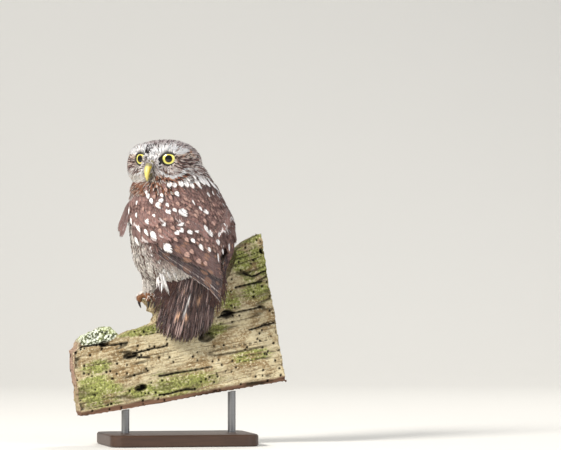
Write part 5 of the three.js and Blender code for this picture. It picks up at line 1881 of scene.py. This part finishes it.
def board_finish():
    """Bleached wood with dark fibres, algae, a crust of lichen, a darker brown band along the lower edge,
    painted shade in the grooves and deep places, and holes and cracks painted near black as painted shade.
    """
    look = settings("owl_board")
    finish = Finish("weathered board", 0.9, specular=0.2)
    step = finish.step
    local = finish.place(turn=(0, 0, -BOARD_TURN))
    long_way = finish.mapped(finish.mapped(local, turn=(0, GRAIN_SLOPE, 0)), (0.07, 0.5, 1.0))
    fibre = finish.noise(long_way, 620.0, 5.0, 0.65, 0.3)
    fine = finish.noise(long_way, 1700.0, 3.0, 0.6)
    mottle = finish.noise(local, 55.0, 5.0, 0.6, 0.5)
    specks = finish.noise(local, 420.0, 4.0, 0.7)
    pit, algae, lichen = finish.parts(finish.attribute("wear", "Vector"))
    edge, end, hollow_shade = finish.parts(finish.attribute("place", "Vector"))

    pale = look.straw * [1.1, 1.16, 1.25]
    green = algae + ((fibre * 0.8 + mottle * 0.7) * 2.6 - 2.25) - step(specks, 0.54, 0.66) * 0.6
    green_tone = finish.mix(step(specks, 0.36, 0.6), look.algae * 0.28, look.algae * 1.2)
    crust = step(finish.cells(local, 430.0), 0.42, 0.62)
    crust_tone = finish.layers(look.lichen, (crust, (0.09, 0.1, 0.05)),
                               (step(mottle, 0.45, 0.6) * 0.5, (0.36, 0.4, 0.16)))
    finish.colour(
        look.straw * [0.5, 0.4, 0.3],
        (step(mottle, 0.38, 0.6), look.straw),
        (step(specks, 0.5, 0.64), pale),
        (step(fibre, 0.5, 0.66) * 0.5, pale),
        (step(specks, 0.43, 0.36) * 0.7, (0.16, 0.12, 0.07)),
        (step(fibre, 0.46, 0.34) * 0.75, (0.11, 0.075, 0.04)),
        (step(fine, 0.43, 0.3) * 0.7, (0.07, 0.05, 0.03)),
        (step(green, 0.15, 0.75) * 0.85, green_tone),
        (step(mottle * 0.5 + lichen, 0.5, 0.75), crust_tone),
        # A darker brown band along the lower edge.
        (step(mottle * 0.7 + edge, 0.75, 1.0), finish.mix(fine, look.brown * 0.35, look.brown)),
        (end * 0.8, finish.mix(fine, (0.1, 0.05, 0.04), (0.42, 0.27, 0.21))),
        # Painted shade in the grooves and deep places.
        (hollow_shade * 0.85, (0.035, 0.026, 0.014)),
        # Painted shade: rot holes, worm holes and cracks painted near black.
        (pit, (0.008, 0.006, 0.004)),
    )
    finish.bump(fibre + fine * 0.5, 0.0006, 0.9)
    return finish.material


class OWL_OT_board(Operator):
    """Board: its broken outline with grain ridges, cracks, rot holes, worm holes and lichen."""

    bl_idname = "owl.board"
    bl_label = "Old board"

    def execute(self, context):
        look = settings("owl_board")
        bm = bmesh.new()
        corners = [bm.verts.new(Vector(board_place(x, BOARD_FACE, z))) for x, z in BOARD_OUTLINE]
        near = bm.faces.new(corners)
        far = bmesh.ops.extrude_face_region(bm, geom=[near])
        move_new(bm, far, board_place(0, BOARD_THICK, 0))
        mesh = remeshed(mesh_of(bm), look.voxel, 2)
        points, normals, _ = arrays_of(mesh)
        place = in_board(points)
        facing = in_board(normals)
        x, y, z = place.T
        along, across = along_grain(x, z)

        def waves(long, wide, deep, seed):
            return lattice_noise(np.column_stack([along / long, across / wide, y / deep]), seed)

        height = 1.5 * waves(50, 22, 20, 1) + 0.75 * waves(38, 3.2, 6, 2) + 0.5 * waves(20, 1.7, 3, 3)
        height = height + 0.3 * waves(7, 1.3, 2, 4) - 1.7
        furrow = waves(70, 4.2, 9, 5)
        groove = ease(np.abs(furrow), 0.12, 0.02) * ease(waves(30, 12, 12, 6), -0.3, 0.2)
        height = height - 1.8 * groove
        crumble = ease(z - 0.17 * x, 118, 150) * ease(x, 10, -20) + ease(x, -92, -104)
        height = height - np.clip(crumble, 0, 1) * 2.2 * np.clip(waves(6, 4, 5, 7), 0, 1)

        front = (facing[:, 1] < -0.4) & (y < BOARD_FACE + 5)
        holes = oval_share(x, z, ROT_HOLES, 0.3) * front
        ragged = 0.75 + 0.5 * waves(4, 2, 3, 8)
        pit = np.clip(holes * ragged * 1.2, 0, 1)
        height = height - 8.0 * pit
        crack = np.zeros(len(x))
        for line in CRACKS:
            knots = [on_board(px, py) for px, py in line]
            away = near_lines(x, z + 0.8 * waves(9, 9, 9, 9), knots)
            crack = np.maximum(crack, ease(away, 1.3, 0.3))
        crack = crack * front
        height = height - 2.4 * crack
        draw = dice(40)
        worm = np.zeros(len(x))
        for _ in range(look.holes):
            at = draw.uniform([-105, 35], [105, 205])
            radius = draw.uniform(0.6, 1.15)
            away = np.hypot(x - at[0], z - at[1])
            worm = np.maximum(worm, ease(away, radius + 0.5, radius * 0.5))
        worm = worm * (facing[:, 1] < -0.4) * (1 - holes)
        height = height - 2.4 * worm
        lichen = oval_share(x, z, LICHEN, 0.3) * (y < BOARD_FACE + 22)
        height = height + lichen * (0.9 + 0.9 * waves(2.6, 2.6, 2.6, 10))
        under_feet = ease(z, 143, 145.5) * ease(x, 34, 30)
        height = height * (1 - under_feet) - 0.15 * under_feet
        height = np.minimum(height, 0.6)
        move_points(mesh, points + normals * height[:, None])

        algae = oval_share(x, z, ALGAE, 0.6) * (y < BOARD_FACE + 26)
        # Darker towards the lower edge, in a band about BROWN_EDGE wide.
        lower = ease(z - 28 - (x + 99.2) * 0.164, BROWN_EDGE + 4, 2) * 0.75
        end = ease(x, -98, -106) * (facing[:, 1] > -0.8)
        # Painted shade, darker in the grooves and where the surface lies deeper.
        hollow_shade = np.clip(groove * 0.6 + ease(height, -2.6, -4.4), 0, 1) * (1 - pit)
        # The first part is painted shade in the holes and cracks; algae and lichen are the wood's own colour.
        set_vector(mesh, "wear", np.column_stack([np.clip(pit + worm + crack, 0, 1), algae, lichen]))
        set_vector(mesh, "place", np.column_stack([lower, end, hollow_shade]))
        piece = make_piece("old_board", mesh, board_finish())
        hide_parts("perch_board")
        return {"FINISHED"}


class OWL_OT_stand(Operator):
    """Stand: stained wood on the base and brushed steel on its two rods."""

    bl_idname = "owl.stand"
    bl_label = "Stand"

    def execute(self, context):
        look = settings("owl_board")
        wood = Finish("stained wood", 0.42, specular=0.45)
        stretched = wood.mapped(wood.place(turn=(0, 0, -BOARD_TURN)), (1.0, 14.0, 14.0))
        pores = wood.noise(stretched, 140.0, 3.0)
        wood.colour(look.base_wood * 0.45, (wood.noise(stretched, 22.0, 6.0, 0.6, 0.6), look.base_wood * 1.5),
                    (wood.step(pores, 0.62, 0.75), look.base_wood * 0.3))
        wood.bump(pores, 0.00008)
        steel = Finish("brushed steel", 0.34, metallic=1.0)
        steel.colour(look.steel * 0.75, (steel.noise(steel.place((1.0, 1.0, 60.0)), 60.0, 3.0), look.steel))
        for node, material in (("stand_base", wood.material), ("stand_rod_near_end", steel.material),
                               ("stand_rod_far_end", steel.material)):
            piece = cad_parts[node]
            piece.data.materials.clear()
            piece.data.materials.append(material)
        return {"FINISHED"}


def stage_finish(tone):
    finish = Finish("plain floor", 0.9, specular=0.2)
    finish.colour(tone, (finish.noise(finish.place(), 3.0, 2.0) * 0.06, (0.5, 0.5, 0.5)))
    return finish.material


# Floor and backdrop, in metres from the model's middle
FLOOR_FRONT = 7.0
FLOOR_BACK = 1.6
FLOOR_HALF = 7.0
BACKDROP_BEND = 1.2
BACKDROP_HEIGHT = 5.0
# Lights: where each stands from the model (towards the camera, to the right, up), its width and its tone
LIGHTS = {
    "key light": ((1.6, -1.5, 1.35), 0.8, (1.0, 0.97, 0.93)),
    "fill light": ((1.7, 1.9, 0.9), 1.6, (0.93, 0.96, 1.0)),
    "rim light": ((-1.3, 0.6, 1.6), 0.9, (1.0, 0.98, 0.95)),
}
LIGHT_TARGET = (0, 0, 0.2)
SKY = (0.9, 0.93, 1.0, 1.0)
SKY_STRENGTH = 0.46
SENSOR_WIDTH = 36


class OWL_OT_stage(Operator):
    """Stage: a pale floor that curves up behind the model, soft lights and the camera."""

    bl_idname = "owl.stage"
    bl_label = "Floor, lights and camera"

    def execute(self, context):
        stage = settings("owl_stage")
        scene = context.scene
        place, right, _, back = map(Vector, camera_frame())
        upright = Vector((0, 0, 1))
        facing = right.cross(upright)

        bm = bmesh.new()
        profile = [facing * FLOOR_FRONT]
        for turn in np.radians(np.linspace(0, 90, 13)):
            out, rise = math.sin(turn), 1 - math.cos(turn)
            profile.append(upright * BACKDROP_BEND * rise - facing * (FLOOR_BACK + BACKDROP_BEND * out))
        profile.append(profile[-1] + upright * BACKDROP_HEIGHT)
        verts = [bm.verts.new(point - right * FLOOR_HALF) for point in profile]
        edges = [bm.edges.new(pair) for pair in zip(verts, verts[1:])]
        move_new(bm, bmesh.ops.extrude_edge_only(bm, edges=edges), right * FLOOR_HALF * 2)
        bmesh.ops.recalc_face_normals(bm, faces=bm.faces)
        if bm.faces[0].normal.z < 0:
            bmesh.ops.reverse_faces(bm, faces=bm.faces)
        mesh = bpy.data.meshes.new("backdrop")
        bm.to_mesh(mesh)
        bm.free()
        backdrop = bpy.data.objects.new("backdrop", mesh)
        context.collection.objects.link(backdrop)
        mesh.materials.append(stage_finish(stage.floor))
        mesh.shade_smooth()
        backdrop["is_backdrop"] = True

        for name, (offset, size, tone) in LIGHTS.items():
            lamp = bpy.data.lights.new(name, "AREA")
            lamp.shape = "DISK"
            lamp.size = size
            lamp.energy = stage.key_power if name == "key light" else stage.fill_power
            lamp.color = tone
            holder = bpy.data.objects.new(name, lamp)
            context.collection.objects.link(holder)
            way = facing * offset[0] + right * offset[1] + upright * offset[2]
            holder.location = Vector(LIGHT_TARGET) + way
            holder.rotation_euler = way.to_track_quat("Z", "Y").to_euler()
        scene.world = bpy.data.worlds.new("studio")
        scene.world.use_nodes = True
        sky = scene.world.node_tree.nodes["Background"].inputs
        sky["Color"].default_value = SKY
        sky["Strength"].default_value = SKY_STRENGTH
        scene.view_settings.view_transform = "Standard"

        camera_data = bpy.data.cameras.new("camera")
        camera = bpy.data.objects.new("camera", camera_data)
        context.collection.objects.link(camera)
        camera.location = place
        camera.rotation_euler = back.to_track_quat("Z", "Y").to_euler()
        camera_data.sensor_width = SENSOR_WIDTH
        camera_data.lens = SENSOR_WIDTH * stage.distance / stage.view_width
        camera_data.clip_end = 60
        scene.camera = camera
        return {"FINISHED"}


class OWL_PT_panel(Panel):
    """The owl's pieces and settings."""

    bl_label = "Little owl"
    bl_space_type = "VIEW_3D"
    bl_region_type = "UI"
    bl_category = "Little owl"

    def draw(self, context):
        for operator in OPERATORS:
            self.layout.operator(operator.bl_idname)
        for name, group in GROUPS.items():
            box = self.layout.box()
            for key in group.__annotations__:
                box.prop(getattr(context.scene, name), key)


GROUPS = {
    "owl_plumage": OwlPlumageSettings,
    "owl_eyes": OwlEyeSettings,
    "owl_board": OwlBoardSettings,
    "owl_stage": OwlStageSettings,
}
OPERATORS = [
    OWL_OT_stage, OWL_OT_skin, OWL_OT_head_coat, OWL_OT_body_coat, OWL_OT_wings, OWL_OT_mantle,
    OWL_OT_tail, OWL_OT_eyes, OWL_OT_bill, OWL_OT_feet, OWL_OT_board, OWL_OT_stand,
]


def register():
    for group in GROUPS.values():
        bpy.utils.register_class(group)
    for operator in OPERATORS:
        bpy.utils.register_class(operator)
    bpy.utils.register_class(OWL_PT_panel)
    for name, group in GROUPS.items():
        setattr(bpy.types.Scene, name, PointerProperty(type=group))


def unregister():
    for name in GROUPS:
        delattr(bpy.types.Scene, name)
    bpy.utils.unregister_class(OWL_PT_panel)
    for operator in reversed(OPERATORS):
        bpy.utils.unregister_class(operator)
    for group in reversed(GROUPS.values()):
        bpy.utils.unregister_class(group)


def main():
    register()
    for operator in OPERATORS:
        group, name = operator.bl_idname.split(".")
        getattr(getattr(bpy.ops, group), name)()
    boxes = {"cad": CAD_BOX, "visual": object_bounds()}
    {key: [list(corner) for corner in box] for key, box in boxes.items()}


if __name__ == "__main__":
    main()
